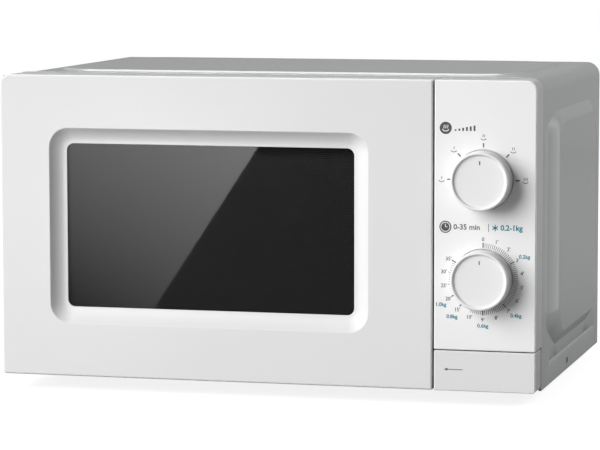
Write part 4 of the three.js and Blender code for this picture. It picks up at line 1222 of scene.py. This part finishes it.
POWER_ANGLES = (-90, -45, 0, 45, 90)
POWER_CENTRE = (KNOB_X, KNOB_HEIGHTS["power"])
TIMER_CENTRE = (KNOB_X, KNOB_HEIGHTS["timer"])
MINUTE_STEP = 20.0  # degrees of dial for each of the first ten minutes
LATE_STEP = 4.0  # degrees for each minute after them
LAST_MINUTE = 35
BOLD_MINUTES = (0, 3, 7, 9, 15, 20, 35)
TICK_INNER = 24.6
TICK_SHORT = 27.0
TICK_LONG = 28.2
FIGURE_RADIUS = 31.6
POWER_TICK = (25.4, 28.7)
SIGN_RADIUS = 33.2


def dial_angle(minutes):
    return MINUTE_STEP * min(minutes, 10) + LATE_STEP * max(minutes - 10, 0)


def power_marks():
    parts = []
    for level, angle in enumerate(POWER_ANGLES):
        parts.append(tick(POWER_CENTRE, angle, *POWER_TICK, 1.0))
        parts += level_sign(on_dial(POWER_CENTRE, angle, SIGN_RADIUS), level)
    return parts


def level_sign(at, level):
    """A shallow bowl under one to three short strokes, more at a higher level."""
    x, z = at
    parts = [bow((x, z + 0.6), 2.9, 0.55, 125, 235)]
    count = level // 2 + 1
    for i in range(count):
        px = x + (i - (count - 1) / 2) * 1.3
        parts.append(stroke((px, z + 0.1), (px + 0.3, z + 2.3), 0.45))
    return parts


def timer_marks():
    parts = []
    for sixth in range(10 * 6 + 1):
        parts.append(tick(TIMER_CENTRE, dial_angle(sixth / 6), TICK_INNER, TICK_LONG, FINE_LINE))
    for minutes in range(11, LAST_MINUTE + 1):
        outer = TICK_SHORT if minutes % 5 else TICK_LONG
        parts.append(tick(TIMER_CENTRE, dial_angle(minutes), TICK_INNER, outer, FINE_LINE))
    for minutes in BOLD_MINUTES:
        parts.append(tick(TIMER_CENTRE, dial_angle(minutes), TICK_INNER, TICK_LONG + 0.4, 0.9))
    for minutes in (*range(11), *range(15, LAST_MINUTE + 1, 5)):
        x, z = on_dial(TIMER_CENTRE, dial_angle(minutes), FIGURE_RADIUS)
        parts.append(figure(f"{minutes}'" if minutes else "0", (x, z - 0.5), FIGURE_SIZE))
    return parts


WEIGHTS = (  # kilograms, with angle and radius on the dial
    ("0.2", 61, 37.5),
    ("0.4", 137, 38.5),
    ("0.6", 180, 36.9),
    ("0.8", 219, 39.0),
    ("1.0", 238, 39.5),
)


def weight_marks():
    figures = []
    for text, angle, radius in WEIGHTS:
        figures.append(figure(text + "kg", on_dial(TIMER_CENTRE, angle, radius), FIGURE_SIZE, 0.11))
    return figures


BADGE_RADIUS = 4.8
POWER_BADGE = (148.0, 206.7)
TIMER_BADGE = (148.0, 129.3)
ROW_START = 6.4  # from a badge's middle to the start of its row
DIVIDER_AT = 34.3
FROST_AT = 39.5
BAR_COUNT = 6
BAR_WIDTH = 1.4
BAR_PITCH = 3.0
BAR_GROWTH = 0.62
ARROW_Z = 17
ARROW_SPAN = (147.2, 162.2)
ARROW_HEAD = (2.8, 1.1)  # length, half height


def level_bars():
    """A row of growing bars, the common sign for a power level."""
    x, z = POWER_BADGE
    parts = []
    for i in range(BAR_COUNT):
        middle = x + ROW_START + BAR_WIDTH + i * BAR_PITCH
        parts.append(stroke((middle, z - 2.1), (middle, z - 1.0 + i * BAR_GROWTH), BAR_WIDTH))
    return parts


def badge_waves(at):
    """Three rising strokes over a shallow dish, light on the dark badge."""
    x, z = at
    parts = [stroke((x + dx, z - 0.4), (x + dx + 0.3, z + 2.4), 0.6) for dx in (-1.5, 0, 1.5)]
    parts.append(bow((x, z + 0.6), 3.4, 0.7, 120, 240))
    return [lifted(part) for part in parts]


def badge_hands(at):
    """A small clock face, light on the dark badge."""
    x, z = at
    ring_line = circle_line(at, 3.9, 0.6)
    hands = [stroke((x, z - 0.2), (x, z + 2.4), 0.6), stroke((x - 0.2, z), (x + 1.7, z), 0.6)]
    return [lifted(part) for part in [ring_line] + hands]


def lifted(part, rise=0.03):
    """The same mark a little further out, so that it lies on another mark."""
    points, faces = part
    return [(x, y - rise, z) for x, y, z in points], faces


def timer_row():
    """The dial's range in minutes and a line after it."""
    x, z = TIMER_BADGE
    divider = x + DIVIDER_AT
    return [
        figure("0-35 min", (x + ROW_START, z), ROW_SIZE, 0.10, "LEFT"),
        stroke((divider, z - 3.2), (divider, z + 3.2), 0.4),
    ]


def frost_row():
    """A plain six-armed frost sign with the range of weights."""
    x, z = TIMER_BADGE[0] + FROST_AT, TIMER_BADGE[1]
    arms = [[on_dial((x, z), angle, reach) for reach in (-2.5, 2.5)] for angle in (0, 60, 120)]
    parts = [stroke(start, end, 0.75) for start, end in arms]
    return parts + [figure("0.2-1kg", (x + 4.2, z), ROW_SIZE, 0.16, "LEFT")]


def arrow_mark():
    tip, tail = ARROW_SPAN
    length, half = ARROW_HEAD
    head = [(tip, ARROW_Z), (tip + length, ARROW_Z + half), (tip + length, ARROW_Z - half)]
    return [stroke((tip + length - 1, ARROW_Z), (tail, ARROW_Z), 0.55), flat_mark(head)]


# ---------- small pieces

FOOT_SPOTS = ("front_left", "front_right", "rear_left", "rear_right")
FOOT_SOLE = 9.6
FOOT_SHOULDER = 14.2
FOOT_STEM = 4


def rubber_foot(spot):
    (x0, x1), (y0, y1), (z0, z1) = measured("foot_" + spot)
    centre = ((x0 + x1) / 2, (y0 + y1) / 2, z0)
    top = z1 - z0
    profile = [(0, 0), (FOOT_SOLE, 0)] + arc((FOOT_SOLE, 1.6), 1.6, -90, -5, 5)
    profile += [(12.6, FOOT_SHOULDER - 5), (13.9, FOOT_SHOULDER - 1.2)]
    profile += arc((13.3, FOOT_SHOULDER - 0.7), 0.7, 0, 90, 3)
    profile += [(FOOT_STEM, FOOT_SHOULDER), (FOOT_STEM, top), (0, top)]
    obj = made("rubber_foot_" + spot, lathe(profile, centre, "z", 40))
    finished(shaded(obj), "rubber", "chassis", "foot_" + spot)


TRAY_RADIUS = 122.5


def glass_tray():
    """A pressed glass dish with a raised rim and, below, the ring that its rollers run on."""
    (x0, x1), (y0, y1), (z0, _) = measured("glass_tray")
    centre = ((x0 + x1) / 2, (y0 + y1) / 2, z0)
    r = TRAY_RADIUS
    profile = [(0, 0.4), (60, 0.4), (62, 0), (84, 0), (86, 0.4)]
    profile += [(r - 18, 0.4), (r - 12, 1.2), (r - 5, 4.5), (r - 1, 9)]
    profile += arc((r - 1.1, 10.9), 1.1, -20, 180, 8)
    profile += [(r - 3.2, 8.5), (r - 8, 5.8), (r - 14, 4.3), (r - 20, 3.9), (0, 3.9)]
    obj = made("turntable_tray", lathe(profile, centre, "z", 120))
    finished(shaded(obj), "clear_glass", "turntable", "glass_tray")


def repaint_cad():
    """Gives every CAD node the material of its slot."""
    slots = {part["node"]: part["material_slot"] for part in frame["record"]["subparts"]}
    for name, obj in frame["nodes"].items():
        obj.data.materials.clear()
        obj.data.materials.append(MATERIALS[slots[name]])


repaint_cad()
door_shell()
control_fascia()
open_button()
knob("power")
knob("timer")
cabinet_wrap()
for foot_spot in FOOT_SPOTS:
    rubber_foot(foot_spot)
glass_tray()
marks("power_scale", GREY_INK, *power_marks(), *level_bars(), disc(POWER_BADGE, BADGE_RADIUS))
marks("timer_scale", GREY_INK, *timer_marks(), *timer_row(), disc(TIMER_BADGE, BADGE_RADIUS))
marks("badge_signs", WHITE_INK, *badge_waves(POWER_BADGE), *badge_hands(TIMER_BADGE))
marks("weight_scale", TEAL_INK, *weight_marks(), *frost_row())
button_arrow = made("button_arrow", joined(*arrow_mark()))
finished(button_arrow, "white_plastic", "open_button", material=GREY_INK)
